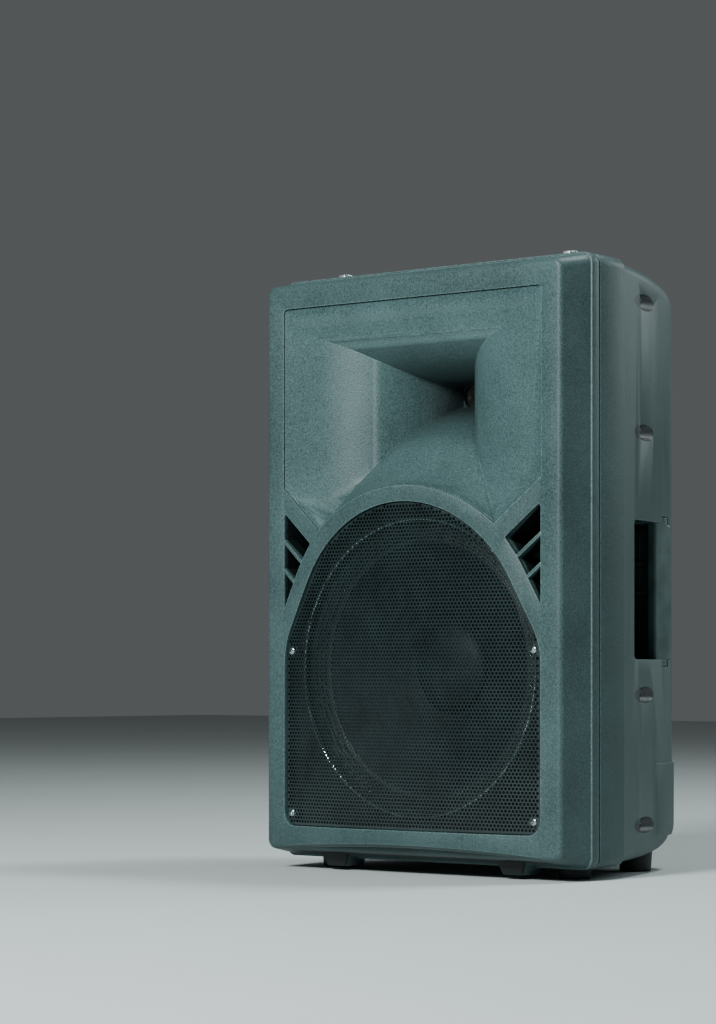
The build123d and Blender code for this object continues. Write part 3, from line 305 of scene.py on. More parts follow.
def moulded(node, name, material, corner=0.0008, crisp=30.0, shaped=None):
    """A piece like its node, with broken corners and smooth curved faces."""
    shape = merged_copy(node)
    if shaped:
        shaped(shape)
    made = add_object(name, plain_mesh(name, shape))
    bevel = made.modifiers.new("broken_corners", "BEVEL")
    bevel.width = corner
    bevel.segments = 2
    bevel.limit_method = "ANGLE"
    bevel.angle_limit = radians(crisp)
    bevel.use_clamp_overlap = True
    baked(made)
    made.data.materials.append(material)
    smoothed(made, crisp)
    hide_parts(node)
    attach(made, "cabinet")


def moulded_skin(name, dark, light, grain, painted_shade=None):
    """Moulded plastic with a blasted grain, a slow drift in tone and edges painted paler, partly as
    wear and partly as a painted highlight.
    The last argument gives the part that is painted near black as painted shade and left unworn,
    behind the grille or down a hole."""
    skin = Finish(name)
    cloud = skin.noise(9.0, 4.0, 0.6)
    speck = skin.noise(grain, 3.0, 0.75)
    pit = skin.cells(grain * 1.3)
    grainy = skin.mix(skin.spread(cloud * 0.3 + speck * 0.7, 0.36, 0.64), dark, light)
    # Edges are painted paler: partly wear, partly a painted highlight along the broken corners.
    worn_and_highlit = skin.spread(skin.edges(0.0018), 0.84, 0.995, 1.0, 0.0) * skin.spread(speck, 0.3, 0.55)
    colour = skin.mix(worn_and_highlit * 0.8, grainy, (0.17, 0.27, 0.27, 1))
    if painted_shade:
        part = painted_shade(skin)
        # Painted shade: the masked part is painted near black, where shade falls inside the
        # openings.
        shade_black = skin.mix(speck, (0.002, 0.004, 0.004, 1), (0.006, 0.010, 0.010, 1))
        colour = skin.mix(part, colour, shade_black)
    rough = skin.roughness(speck, 0.36, 0.58)
    relief = skin.bump(speck * 0.55 + pit * 0.45, 0.00045, 0.75)
    return skin.dress(Base_Color=colour, Roughness=rough, Normal=relief, Specular_IOR_Level=0.38)


def shade_behind_grille(skin):
    """One on the board that carries the woofer, where it is painted black as shade, nought on the
    frame round it.
    """
    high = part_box("grille")[1]
    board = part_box("woofer_gasket")[1].y
    side_margin, top_margin = 0.001, 0.002
    fade_start, fade_end = high.y - 0.0065, high.y - 0.003
    across = skin.part(0, skin.place)
    deep = skin.spread(skin.part(1, skin.place), fade_start, fade_end)
    beside = across * across < (high.x + side_margin) ** 2
    below = skin.part(2, skin.place) < high.z + top_margin
    inside = beside * below
    return deep * inside * (skin.part(1, skin.place) < board)


def shade_down_the_wells(skin):
    """One inside the deep wells that the case screws stand in, where they are painted dark as
    shade.
    """
    spots = [(low + high) / 2 for low, high in islands("case_screws")]
    well_radius = 0.0096
    shade_strength = 0.92
    across = skin.part(0, skin.place)
    up = skin.part(2, skin.place)
    from_middle = skin.node("ShaderNodeMath", {"operation": "ABSOLUTE"}, {0: across})
    from_axis = from_middle - max(spot.x for spot in spots)
    inside = 0.0
    for height in sorted({round(spot.z, 4) for spot in spots}):
        inside = (from_axis * from_axis + (up - height) * (up - height) < well_radius ** 2) + inside
    return inside * shade_strength


def shade_to_the_throat(skin):
    """Rises with depth, where the flare is painted darker towards the throat as shade."""
    low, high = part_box("horn_flare")
    shade_start, shade_full = low.y + 0.045, high.y - 0.02
    return skin.spread(skin.part(1, skin.place), shade_start, shade_full, 0.0, 0.93)


def shade_down_the_duct(skin):
    """Nought on the slats' front edges, one a few millimetres behind them, where the duct is
    painted black as shade.
    """
    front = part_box("port_duct_right")[0].y
    fade_start, fade_end = front + 0.0075, front + 0.0105
    return skin.spread(skin.part(1, skin.place), fade_start, fade_end)


def floor_to_arch(shape):
    """Slopes the narrow flat before the flare's floor, so that the floor runs on to the arch."""
    flat = -0.150
    slope = 1.15
    reach = 0.11
    strip_low, strip_high = 0.43, 0.46
    least_fall = 0.0003
    strip = [vertex for vertex in shape.verts if abs(vertex.co.y - flat) < 0.0002
             and abs(vertex.co.x) < reach and strip_low < vertex.co.z < strip_high]

    def on_floor(face):
        return face.normal.z > 0.5 and max(corner.co.y for corner in face.verts) > flat + 0.0005

    crest = sorted((vertex.co.x, vertex.co.z) for vertex in strip
                   if any(on_floor(face) for face in vertex.link_faces))
    touched = {face for vertex in strip for face in vertex.link_faces}
    floor_faces = [face for face in shape.faces if face in touched and face.normal.y < -0.99]
    for vertex in strip:
        after = next((i for i, point in enumerate(crest) if point[0] > vertex.co.x), len(crest) - 1)
        (x_low, z_low), (x_high, z_high) = crest[max(after - 1, 0)], crest[after]
        share = (vertex.co.x - x_low) / (x_high - x_low) if x_high > x_low else 0.0
        fall = z_low + (z_high - z_low) * min(max(share, 0.0), 1.0) - vertex.co.z
        if fall > least_fall:
            vertex.co.y -= slope * fall
    bmesh.ops.triangulate(shape, faces=floor_faces)


cabinet_tones = (0.016, 0.034, 0.035, 1), (0.055, 0.098, 0.099, 1)
cabinet_grain = 560.0
cabinet_skin, front_skin_painted_shade, duct_skin_painted_shade, shell_skin_painted_shade = [
    moulded_skin(name + "_black_skin", *cabinet_tones, cabinet_grain, painted_shade)
    for name, painted_shade in (("blasted", None), ("front", shade_behind_grille), ("duct", shade_down_the_duct),
                         ("shell", shade_down_the_wells))]
horn_skin = moulded_skin("horn_skin", (0.018, 0.040, 0.041, 1), (0.066, 0.118, 0.119, 1), 520.0,
                         shade_to_the_throat)
moulded("front_baffle", "front_moulding", front_skin_painted_shade)
moulded("rear_shell", "rear_moulding", shell_skin_painted_shade)
moulded("horn_flare", "horn", horn_skin, 0.001, shaped=floor_to_arch)
for side in ("left", "right"):
    moulded("port_duct_" + side, "port_slats_" + side, duct_skin_painted_shade, 0.0005)
    moulded("handle_cup_" + side, "hand_pocket_" + side, cabinet_skin, 0.0005)


# Grille. One bowed steel sheet, punched all over with staggered round holes, folded back
# round its edge and powder coated black. Four screws hold it, each on a plain round land.
class Shape(Nodes):
    """A Geometry Nodes tree: named sizes come in and a plain mesh in its material goes out."""

    kinds = {int: "NodeSocketInt", float: "NodeSocketFloat", tuple: "NodeSocketVector",
             bpy.types.Material: "NodeSocketMaterial", bpy.types.Object: "NodeSocketObject"}

    def __init__(self, name, **sizes):
        super().__init__(bpy.data.node_groups.new(name, "GeometryNodeTree"))
        face = self.tree.interface
        face.new_socket("Base", in_out="INPUT", socket_type="NodeSocketGeometry")
        face.new_socket("Piece", in_out="OUTPUT", socket_type="NodeSocketGeometry")
        self.sockets = {}
        for key, value in sizes.items():
            kind = value if value in self.kinds else type(value)
            self.sockets[key] = face.new_socket(key, in_out="INPUT", socket_type=self.kinds[kind])
        self.sizes = sizes
        entry = self.tree.nodes.new("NodeGroupInput")
        self.base = Value(self, entry.outputs[0])
        self.given = {key: Value(self, entry.outputs[key]) for key in sizes}
        self.place = self.node("GeometryNodeInputPosition")

    def join(self, *geometry):
        return self.node("GeometryNodeJoinGeometry", None, {0: list(geometry)})

    def moved(self, geometry, offset, turn=(0.0, 0.0, 0.0)):
        return self.node("GeometryNodeTransform", None,
                         {"Geometry": geometry, "Translation": offset, "Rotation": turn})

    def copies(self, points, shape, chosen=True, turn=(0.0, 0.0, 0.0)):
        return self.node("GeometryNodeInstanceOnPoints", None, {
            "Points": points, "Selection": chosen, "Instance": shape, "Rotation": turn})

    def welded(self, geometry, reach):
        real = self.node("GeometryNodeRealizeInstances", None, {0: geometry})
        return self.node("GeometryNodeMergeByDistance", None, {"Geometry": real, "Distance": reach})

    def finish(self, geometry):
        real = self.node("GeometryNodeRealizeInstances", None, {0: geometry})
        dressed = self.node("GeometryNodeSetMaterial", None,
                            {"Geometry": real, "Material": self.given["Material"]})
        leave = self.tree.nodes.new("NodeGroupOutput")
        self.tree.links.new(dressed.socket, leave.inputs[0])
        return self

    def make(self, name, base, **sizes):
        """The plain mesh that the tree makes on a base mesh, with other sizes where given."""
        made = add_object(name, base)
        modifier = made.modifiers.new(name, "NODES")
        modifier.node_group = self.tree
        for key, socket in self.sockets.items():
            modifier[socket.identifier] = sizes.get(key, self.sizes[key])
        return baked(made)


def front_outline(node):
    """Points round the front face of a node, in order."""
    shape = welded_copy(node)
    behind = [face for face in shape.faces if face.normal.y > -0.9]
    bmesh.ops.delete(shape, geom=behind, context="FACES")
    rim = {edge for edge in shape.edges if edge.is_boundary}
    longest = []
    for edge in shape.edges:
        if edge not in rim:
            continue
        rim.discard(edge)
        chain = list(edge.verts)
        while edge:
            edge = next((other for other in chain[-1].link_edges if other in rim), None)
            if edge:
                rim.discard(edge)
                chain.append(edge.other_vert(chain[-1]))
        if len(chain) > len(longest):
            longest = chain
    points = [vertex.co.copy() for vertex in longest[:-1]]
    shape.free()
    return points


def powder_coat(name, dark, light):
    coat = Finish(name)
    peel = coat.noise(900.0, 2.0, 0.6)
    dust = coat.noise(22.0, 4.0, 0.6)
    return coat.dress(Base_Color=coat.mix(coat.spread(dust, 0.35, 0.65), dark, light),
                      Roughness=coat.roughness(peel, 0.2, 0.38),
                      Normal=coat.bump(peel, 0.00006, 0.5), Coat_Weight=0.35)


grille_paint = powder_coat("grille_powder_coat", (0.006, 0.013, 0.014, 1), (0.012, 0.024, 0.025, 1))
hole_pitch = 0.0048
hole_radius = 0.002
row_pitch = hole_pitch * sqrt(3) / 2
grille_low, grille_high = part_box("grille")
grille_edge = front_outline("grille")
grille_reach = max(point.x for point in grille_edge)
grille_drop = max(point.y for point in grille_edge) - grille_low.y
grille_bow = (grille_reach ** 2 + grille_drop ** 2) / (2 * grille_drop)
screw_low, screw_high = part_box("grille_screws")
head_radius = 0.0045
grille_screw_spots = [(x, height) for x in (screw_low.x + head_radius, screw_high.x - head_radius)
                      for height in (screw_low.z + head_radius, screw_high.z - head_radius)]


def flat_loops(name, loops):
    """Closed loops laid flat, as edges; the first loop is marked as the folded one."""
    points = []
    edges = []
    for loop in loops:
        first = len(points)
        points.extend((x, y, 0.0) for x, y in loop)
        edges.extend((first + i, first + (i + 1) % len(loop)) for i in range(len(loop)))
    flat = bpy.data.meshes.new(name)
    flat.from_pydata(points, edges, [])
    marks = flat.attributes.new("folded", "BOOLEAN", "EDGE")
    for index in range(len(loops[0])):
        marks.data[index].value = True
    return flat


def circle(x, y, radius, count):
    turns = [2 * pi * i / count for i in range(count)]
    return [(x + radius * cos(turn), y + radius * sin(turn)) for turn in turns]


def perforated_sheet():
    """Staggered holes inside loops; only the outer row is filled by the slow general fill."""
    weld_reach = 0.00002
    ray_start = 0.01
    shape = Shape("perforated_sheet", Pitch=hole_pitch, Radius=hole_radius, Margin=0.0007,
                  Across=3, Up=3, Middle=0.0, Fold=0.008, Crown=0.0, Bow=1.0, Material=grille_paint)
    size = shape.given
    pitch = size["Pitch"]
    row = pitch * (sqrt(3) / 2)
    up = size["Up"]
    grid = shape.node("GeometryNodeMeshGrid", None, {
        "Size X": (size["Across"] - 1.0) * pitch, "Size Y": (up - 1.0) * row,
        "Vertices X": size["Across"], "Vertices Y": up})
    odd = (shape.node("GeometryNodeInputIndex") % up) % 2.0
    points = shape.node("GeometryNodeSetPosition", None, {
        "Geometry": grid, "Offset": shape.joined(odd * pitch * 0.5, size["Middle"])})
    edge = shape.node("GeometryNodeMeshToCurve", None, {0: shape.base})
    field = shape.node("GeometryNodeFillCurve", None, {"Curve": edge})

    def room(turn, reach):
        """One where a hole's neighbour at that turn has that much room inside the loops."""
        where = shape.place
        if turn is not None:
            step = shape.joined(pitch * cos(radians(turn)), pitch * sin(radians(turn)))
            where = shape.vector("ADD", where, step)
        hit = shape.node("GeometryNodeRaycast", None, {
            "Target Geometry": field,
            "Source Position": shape.vector("ADD", where, (0.0, 0.0, ray_start)),
            "Ray Direction": (0.0, 0.0, -1.0), "Ray Length": 1.0}, "Is Hit")
        gap = shape.node("GeometryNodeProximity", {"target_element": "EDGES"},
                         {0: shape.base, "Sample Position": where}, "Distance")
        return hit * (gap > reach)

    outer = size["Radius"] + size["Margin"]
    inner = outer + pitch
    holes = shape.node("GeometryNodeMeshCircle", {"fill_type": "NGON"},
                       {"Vertices": 6, "Radius": size["Radius"]})
    holes = shape.moved(holes, (0.0, 0.0, 0.0), (0.0, 0.0, radians(30)))
    own = room(None, inner)
    beside = {turn: own * room(turn, inner) for turn in (0, 60, 120)}
    gap = pitch - size["Radius"] * sqrt(3)
    bar = shape.node("GeometryNodeMeshGrid", None, {
        "Size X": gap, "Size Y": size["Radius"], "Vertices X": 2, "Vertices Y": 2})
    bar = shape.moved(bar, shape.joined(pitch * 0.5))
    web = shape.node("GeometryNodeMeshCircle", {"fill_type": "NGON"},
                     {"Vertices": 3, "Radius": gap * (1 / sqrt(3))})
    web_place = shape.joined(pitch * 0.5, pitch * (0.5 / sqrt(3)))
    web = shape.moved(web, web_place, (0.0, 0.0, radians(90)))
    tiles = [shape.copies(points, bar, beside[turn], (0.0, 0.0, radians(turn)))
             for turn in (0, 60, 120)]
    tiles += [shape.copies(points, web, beside[turn] * beside[turn + 60], (0.0, 0.0, radians(turn)))
              for turn in (0, 60)]
    punched = shape.welded(shape.join(*tiles), weld_reach)
    solid = shape.welded(shape.join(*tiles, shape.copies(points, holes, own)), weld_reach)
    lone = shape.node("FunctionNodeCompare", {"data_type": "INT", "operation": "EQUAL"},
                      {2: shape.node("GeometryNodeInputMeshEdgeNeighbors"), 3: 1})
    inside = shape.node("GeometryNodeMeshToCurve", None, {0: solid, 1: lone})
    outer_holes = shape.copies(points, shape.node("GeometryNodeMeshToCurve", None, {0: holes}),
                               room(None, outer) * (1.0 - own))
    outer_holes = shape.node("GeometryNodeRealizeInstances", None, {0: outer_holes})
    border = shape.node("GeometryNodeFillCurve", None,
                        {"Curve": shape.join(edge, inside, outer_holes)})
    folded = shape.node("GeometryNodeInputNamedAttribute", {"data_type": "BOOLEAN"},
                        {"Name": "folded"})
    fold = shape.node("GeometryNodeExtrudeMesh", {"mode": "EDGES"}, {
        "Mesh": shape.base, "Selection": folded,
        "Offset": shape.joined(0.0, 0.0, size["Fold"] * -1.0), "Offset Scale": 1.0})
    sheet = shape.welded(shape.join(punched, border, fold), weld_reach)
    across = shape.part(0, shape.place)
    rise = size["Bow"] - shape.node("ShaderNodeMath", {"operation": "SQRT"}, {
        0: size["Bow"] * size["Bow"] - across * across})
    upright = shape.joined(across, size["Crown"] + rise - shape.part(2, shape.place),
                           shape.part(1, shape.place))
    bowed = shape.node("GeometryNodeSetPosition", None, {"Geometry": sheet, "Position": upright})
    return shape.finish(bowed)


screw_hole = 0.0028
sheet_gauge = 0.001
grille_loops = [[(point.x, point.z) for point in grille_edge]]
grille_loops += [circle(x, height, screw_hole, 16) for x, height in grille_screw_spots]
rows = int((grille_high.z - grille_low.z) / row_pitch) // 2 * 2 + 3
grille_sheet = perforated_sheet().make(
    "grille_sheet", flat_loops("grille_sheet", grille_loops),
    Across=int(2 * grille_reach / hole_pitch) + 3, Up=rows,
    Middle=(grille_low.z + grille_high.z) / 2, Crown=grille_low.y, Bow=grille_bow)
fold = grille_sheet.modifiers.new("round_fold", "BEVEL")
fold.width = sheet_gauge
fold.segments = 3
fold.limit_method = "ANGLE"
fold.angle_limit = radians(60)
gauge = grille_sheet.modifiers.new("gauge", "SOLIDIFY")
gauge.thickness = sheet_gauge
gauge.offset = -1.0
baked(grille_sheet)
smoothed(grille_sheet, 40)
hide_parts("grille")
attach(grille_sheet, "cabinet")


# Screws. Pan heads with a cross recess, zinc plated except on the grille, where they are blacked
# and worn bright, and on the case, where they are dull black. Each kind is turned once and set
# wherever its node has one.
def lathed(name, profile, count):
    """A closed profile of (radius, height) points turned about Z."""
    shape = bmesh.new()
    rings = []
    for turn in range(count):
        angle = 2 * pi * turn / count
        rings.append([shape.verts.new((r * cos(angle), r * sin(angle), h)) for r, h in profile])
    for turn in range(count):
        here, there = rings[turn], rings[(turn + 1) % count]
        for i in range(len(profile)):
            j = (i + 1) % len(profile)
            if profile[i][0] > 0 or profile[j][0] > 0:
                shape.faces.new((here[i], there[i], there[j], here[j]))
    bmesh.ops.remove_doubles(shape, verts=shape.verts, dist=0.0000005)
    bmesh.ops.dissolve_degenerate(shape, dist=0.0000002, edges=shape.edges)
    bmesh.ops.recalc_face_normals(shape, faces=shape.faces)
    return plain_mesh(name, shape)


def cut(made, tool):
    """The object less the tool, which is used up."""
    boolean = made.modifiers.new("cut", "BOOLEAN")
    boolean.operation = "DIFFERENCE"
    boolean.solver = "EXACT"
    boolean.object = tool
    baked(made)
    bpy.data.objects.remove(tool)
    return made


def screw_blank(head, height, shank, length):
    """A screw standing on Z: its head's underside is at 0 and its recess faces up."""
    rim_share = 0.35
    dome = [(head * cos(angle), height * (rim_share + (1 - rim_share) * sin(angle)))
            for angle in (0.0, 0.45, 0.85, 1.2)]
    stem = [(0.0, -length), (shank * 0.6, -length), (shank, -length + shank),
            (shank, 0.0), (head, 0.0)]
    blank = add_object("blank", lathed("blank", stem + dome + [(0.0, height)], 20))
    cross = bmesh.new()
    half_slot = 0.11 * head
    quarter_turns = ((1, 0), (0, 1), (-1, 0), (0, -1))
    rings = []
    for reach, level in ((0.3 * head, 0.3 * height), (0.62 * head, 1.2 * height)):
        quarter = ((reach, -half_slot), (reach, half_slot), (half_slot, half_slot))
        rings.append([cross.verts.new((x * c - y * s, x * s + y * c, level))
                      for c, s in quarter_turns for x, y in quarter])
    for ring in rings:
        cross.faces.new(ring)
    for i in range(12):
        cross.faces.new((rings[0][i - 1], rings[0][i], rings[1][i], rings[1][i - 1]))
    bmesh.ops.recalc_face_normals(cross, faces=cross.faces)
    return cut(blank, add_object("recess", plain_mesh("recess", cross)))


def set_out():
    """A part at each point of the base, turned one way, with a random spin about its own axis."""
    shape = Shape("set_out", Part=bpy.types.Object, Turn=(0.0, 0.0, 0.0), Material=grille_paint)
    part = shape.node("GeometryNodeObjectInfo", None, {"Object": shape.given["Part"]}, "Geometry")
    points = shape.node("GeometryNodeMeshToPoints", None, {0: shape.base})
    most_spin = 3.14
    spin = shape.node("FunctionNodeRandomValue", {"data_type": "FLOAT"},
                      {2: 0.0, 3: most_spin, "Seed": 4}, 1)
    placed = shape.copies(points, part, True, shape.given["Turn"])
    placed = shape.node("GeometryNodeRotateInstances", None,
                        {0: placed, "Rotation": shape.joined(0.0, 0.0, spin)})
    return shape.finish(placed)


set_out_shape = set_out()


def plated(name, dark, light, rough):
    plate = Finish(name)
    cloud = plate.noise(260.0, 3.0, 0.6)
    scuff = plate.noise(1700.0, 2.0, 0.6)
    return plate.dress(Base_Color=plate.mix(cloud, dark, light), Metallic=1.0,
                       Roughness=plate.roughness(scuff, rough, rough + 0.18),
                       Normal=plate.bump(scuff, 0.00003, 0.4))


zinc_plate = plated("zinc_plate", (0.45, 0.5, 0.5, 1), (0.68, 0.72, 0.72, 1), 0.22)
black_plate = plated("worn_black_plate", (0.24, 0.30, 0.30, 1), (0.62, 0.70, 0.70, 1), 0.14)
dull_plate = plated("dull_black_plate", (0.02, 0.035, 0.036, 1), (0.10, 0.14, 0.14, 1), 0.4)


def screws(node, name, aim, material):
    """Screws of one kind whose heads face along aim, one at each solid of the node."""
    height_share, shank_share = 0.55, 0.45
    boxes = islands(node)
    low, high = boxes[0]
    axis = 1 if aim[1] else 2
    head = (high.x - low.x) / 2
    height = height_share * head
    length = (high - low)[axis] - height
    blank = screw_blank(head, height, head * shank_share, length)
    points = bpy.data.meshes.new(name)
    seats = []
    for low, high in boxes:
        seat = (low + high) / 2
        seat[axis] = (high if sum(aim) > 0 else low)[axis] - height * sum(aim)
        seats.append(seat)
    points.from_pydata(seats, [], [])
    turn = Vector(aim).to_track_quat("Z", "Y").to_euler()
    made = set_out_shape.make(name, points, Part=blank, Turn=tuple(turn), Material=material)
    bpy.data.objects.remove(blank)
    smoothed(made, 35)
    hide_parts(node)
    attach(made, "cabinet")


screws("grille_screws", "grille_cross_screws", (0, -1, 0), black_plate)
screws("case_screws", "case_cross_screws", (0, 1, 0), dull_plate)
screws("plate_screws", "plate_cross_screws", (0, 1, 0), zinc_plate)
screws("pole_screws", "pole_cross_screws", (0, 0, -1), zinc_plate)
screws("foot_screws", "foot_cross_screws", (0, 0, -1), zinc_plate)
screws("woofer_screws", "woofer_cross_screws", (0, 1, 0), zinc_plate)
screws("driver_screws", "driver_cross_screws", (0, -1, 0), zinc_plate)
screws("crossover_screws", "board_cross_screws", (0, -1, 0), zinc_plate)


# Hand grips. A soft dark bar is pressed into the rear of each hand pocket and held by a
# tab at each end. The tabs carry fine level ribs, and the bar's long edges are well rounded.
def soft_black(name, dark, light, rough):
    rubber = Finish(name)
    bloom = rubber.noise(35.0, 4.0, 0.6)
    grain = rubber.noise(2100.0, 2.0, 0.6)
    return rubber.dress(Base_Color=rubber.mix(rubber.spread(bloom, 0.35, 0.65), dark, light),
                        Roughness=rubber.roughness(grain, rough, rough + 0.15),
                        Normal=rubber.bump(grain, 0.00008, 0.5))


grip_skin = soft_black("grip_rubber", (0.028, 0.056, 0.057, 1), (0.058, 0.100, 0.101, 1), 0.4)
tab_length = 0.0225
tab_height = 0.008
rib_pitch = 0.00165
rib_sunk = 0.0001
ribs_each = 4
first_rib_low, first_rib_high = 0.0014, 0.0006
rib_short = 0.003


def ribs_along():
    """Round ribs at the points of the base, half sunk in the tab, each lying along the depth."""
    shape = Shape("ribs_along", Radius=0.0005, Length=0.01, Material=grip_skin)
    size = shape.given
    bar = shape.node("GeometryNodeMeshCylinder", None, {
        "Vertices": 8, "Radius": size["Radius"], "Depth": size["Length"]}, "Mesh")
    bar = shape.moved(bar, (0.0, 0.0, 0.0), (radians(90), 0.0, 0.0))
    return shape.finish(shape.copies(shape.base, bar))


tab_ribs = ribs_along()
for side, sign in (("left", -1), ("right", 1)):
    moulded("handle_grip_" + side, "grip_" + side, grip_skin, 0.0016, 25)
    low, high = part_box("handle_grip_" + side)
    face = high.x if sign > 0 else low.x
    spots = [(face - sign * rib_sunk, low.y + tab_length / 2, edge + step * rib_pitch)
             for edge in (low.z + first_rib_low, high.z - tab_height + first_rib_high)
             for step in range(ribs_each)]
    spine = bpy.data.meshes.new("grip_ribs_" + side)
    spine.from_pydata(spots, [], [])
    ribs = tab_ribs.make("grip_ribs_" + side, spine, Length=tab_length - rib_short)
    smoothed(ribs, 50)
    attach(ribs, "cabinet")


# Woofer, the large loudspeaker behind the grille. A pressed steel basket carries a coated
# paper cone on a pleated cloth edge, and the moulded cutout in front of it has a smooth lip.
cone_low, cone_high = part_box("woofer_cone")
woofer_middle = (cone_low.z + cone_high.z) / 2
cone_reach = cone_high.x
former_reach = 0.0386


def about_depth(name, profile, count, middle, material, crisp=40):
    """A closed profile of (radius, y) points turned about the depth axis at a height."""
    made = add_object(name, lathed(name, [(radius, -y) for radius, y in profile], count))
    made.data.transform(Matrix.Translation((0, 0, middle)) @ Matrix.Rotation(radians(90), 4, "X"))
    made.data.materials.append(material)
    smoothed(made, crisp)
    return made


def ribbed(start, end, skin, rise, count, steps):
    """Front and rear lines of a thin sheet that falls from start to end in smooth rolls."""
    front = []
    for step in range(steps + 1):
        share = step / steps
        swell = rise * sin(pi * 2 * count * share) * min(1.0, 6 * share, 6 * (1 - share))
        front.append((start[0] + (end[0] - start[0]) * share,
                      start[1] + (end[1] - start[1]) * share + swell))
    return front + [(radius, y + skin) for radius, y in reversed(front)]


def pulp(name, dark, light, gloss, sheen=0.5):
    paper = Finish(name)
    fibre = paper.noise(420.0, 4.0, 0.7)
    cloud = paper.noise(25.0, 3.0)
    tone = paper.spread(cloud * 0.5 + fibre * 0.5, 0.35, 0.65)
    return paper.dress(Base_Color=paper.mix(tone, dark, light),
                       Roughness=paper.roughness(fibre, gloss, gloss + 0.2),
                       Normal=paper.bump(fibre, 0.00015, 0.6), Specular_IOR_Level=sheen)


def woven(name, dark, light, gloss, pitch, middle):
    """Cloth whose threads run round and across a ring about the depth axis."""
    threads_round = 900.0
    cloth = Finish(name)
    shift = cloth.vector("SUBTRACT", cloth.place, (0.0, 0.0, middle))
    across = cloth.part(0, shift)
    up = cloth.part(2, shift)
    reach = cloth.node("ShaderNodeMath", {"operation": "SQRT"}, {0: across * across + up * up})
    round_ = cloth.node("ShaderNodeMath", {"operation": "ARCTAN2"}, {0: up, 1: across})
    warp = cloth.node("ShaderNodeMath", {"operation": "SINE"}, {0: reach * (2 * pi / pitch)})
    weft = cloth.node("ShaderNodeMath", {"operation": "SINE"}, {0: round_ * threads_round})
    thread = warp * weft * 0.5 + 0.5
    stain = cloth.noise(30.0, 3.0, 0.6)
    return cloth.dress(Base_Color=cloth.mix(thread * 0.5 + stain * 0.5, dark, light),
                       Roughness=cloth.roughness(stain, gloss, gloss + 0.2),
                       Normal=cloth.bump(thread, 0.0001, 0.7))


cone_paper = pulp("coated_cone_paper", (0.003, 0.007, 0.009, 1), (0.008, 0.015, 0.018, 1), 0.5,
                  0.22)
cap_paper = pulp("cap_paper", (0.005, 0.010, 0.012, 1), (0.011, 0.020, 0.023, 1), 0.45, 0.25)
edge_cloth = woven("doped_edge_cloth", (0.006, 0.010, 0.011, 1), (0.022, 0.030, 0.031, 1), 0.3,
                   0.0007, woofer_middle)
spider_cloth = woven("spider_cloth", (0.30, 0.22, 0.09, 1), (0.48, 0.38, 0.18, 1), 0.7, 0.0008,
                     woofer_middle)
basket_paint = powder_coat("basket_paint", (0.014, 0.022, 0.023, 1), (0.028, 0.04, 0.042, 1))
lip_gloss = Finish("smooth_lip")
lip_marks = lip_gloss.noise(600.0, 2.0)
lip_gloss = lip_gloss.dress(
    Base_Color=lip_gloss.mix(lip_marks, (0.22, 0.30, 0.30, 1), (0.34, 0.44, 0.44, 1)),
    Roughness=lip_gloss.roughness(lip_marks, 0.12, 0.24), Metallic=0.9, Coat_Weight=0.6)

cone_skin = 0.0015
cone_line = ribbed((cone_reach, cone_low.y), (former_reach, cone_high.y - cone_skin), cone_skin,
                   0.0004, 9, 90)
cone = about_depth("woofer_paper_cone", cone_line, 120, woofer_middle, cone_paper)
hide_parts("woofer_cone")
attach(cone, "woofer_moving")

cap_low, cap_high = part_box("woofer_dust_cap")
cap_reach = cap_high.x
cap_rings = 16
cap_wall, cap_skin = 0.001, 0.0008
cap_angles = [pi / 2 * i / cap_rings for i in range(cap_rings + 1)]
cap_line = [(cap_reach * sin(angle), cap_low.y + (cap_high.y - cap_low.y) * (1 - cos(angle)))
            for angle in cap_angles]
cap_line += [(radius - cap_wall * (radius > cap_wall), y + cap_skin)
             for radius, y in reversed(cap_line)]
cap = about_depth("woofer_cap", cap_line, 72, woofer_middle, cap_paper)
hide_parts("woofer_dust_cap")
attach(cap, "woofer_moving")

edge_low, edge_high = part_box("woofer_surround")
edge_start = (edge_high.x, edge_low.y + 0.0002)
edge_lip = (cone_reach + 0.0148, edge_start[1])
edge_end = (cone_reach - 0.0006, cone_low.y - 0.0010)
edge_front = [edge_start, edge_lip]
edge_steps = 48
pleat_rise = 0.0011
for step in range(1, edge_steps + 1):
    share = step / edge_steps
    edge_front.append((edge_lip[0] + (edge_end[0] - edge_lip[0]) * share,
                       edge_lip[1] + (edge_end[1] - edge_lip[1]) * share
                       - pleat_rise * sin(pi * 6 * share) * min(1.0, 8 * (1 - share))))
edge_front.append((cone_reach - 0.0045, cone_low.y + 0.0009))
cloth_skin = 0.0007
edge_line = edge_front + [(radius, y + cloth_skin) for radius, y in reversed(edge_front)]
edge = about_depth("woofer_pleated_edge", edge_line, 120, woofer_middle, edge_cloth)
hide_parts("woofer_surround")
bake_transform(edge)

spider_low, spider_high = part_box("woofer_spider")
spider_seat = spider_high.y - 0.0014
spider_rolls = ribbed((spider_high.x - 0.008, spider_seat),
                      (former_reach + 0.0008, spider_low.y + 0.0016), cloth_skin, 0.0011, 7, 84)
spider_line = [(spider_high.x, spider_seat), *spider_rolls,
               (spider_high.x, spider_high.y - cloth_skin)]
spider = about_depth("woofer_spider_cloth", spider_line, 96, woofer_middle, spider_cloth)
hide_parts("woofer_spider")
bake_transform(spider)

lip_radius = 0.0021
lip_line = circle(edge_high.x + 0.0001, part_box("woofer_basket")[0].y - 0.0105, lip_radius, 10)
lip = about_depth("woofer_cutout_lip", lip_line, 180, woofer_middle, lip_gloss,
                  60)
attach(lip, "cabinet")

moulded("woofer_basket", "woofer_frame", basket_paint, 0.0006)
foam = pulp("gasket_foam", (0.012, 0.014, 0.014, 1), (0.03, 0.034, 0.034, 1), 0.75)
moulded("woofer_gasket", "woofer_foam_ring", foam, 0.0004)


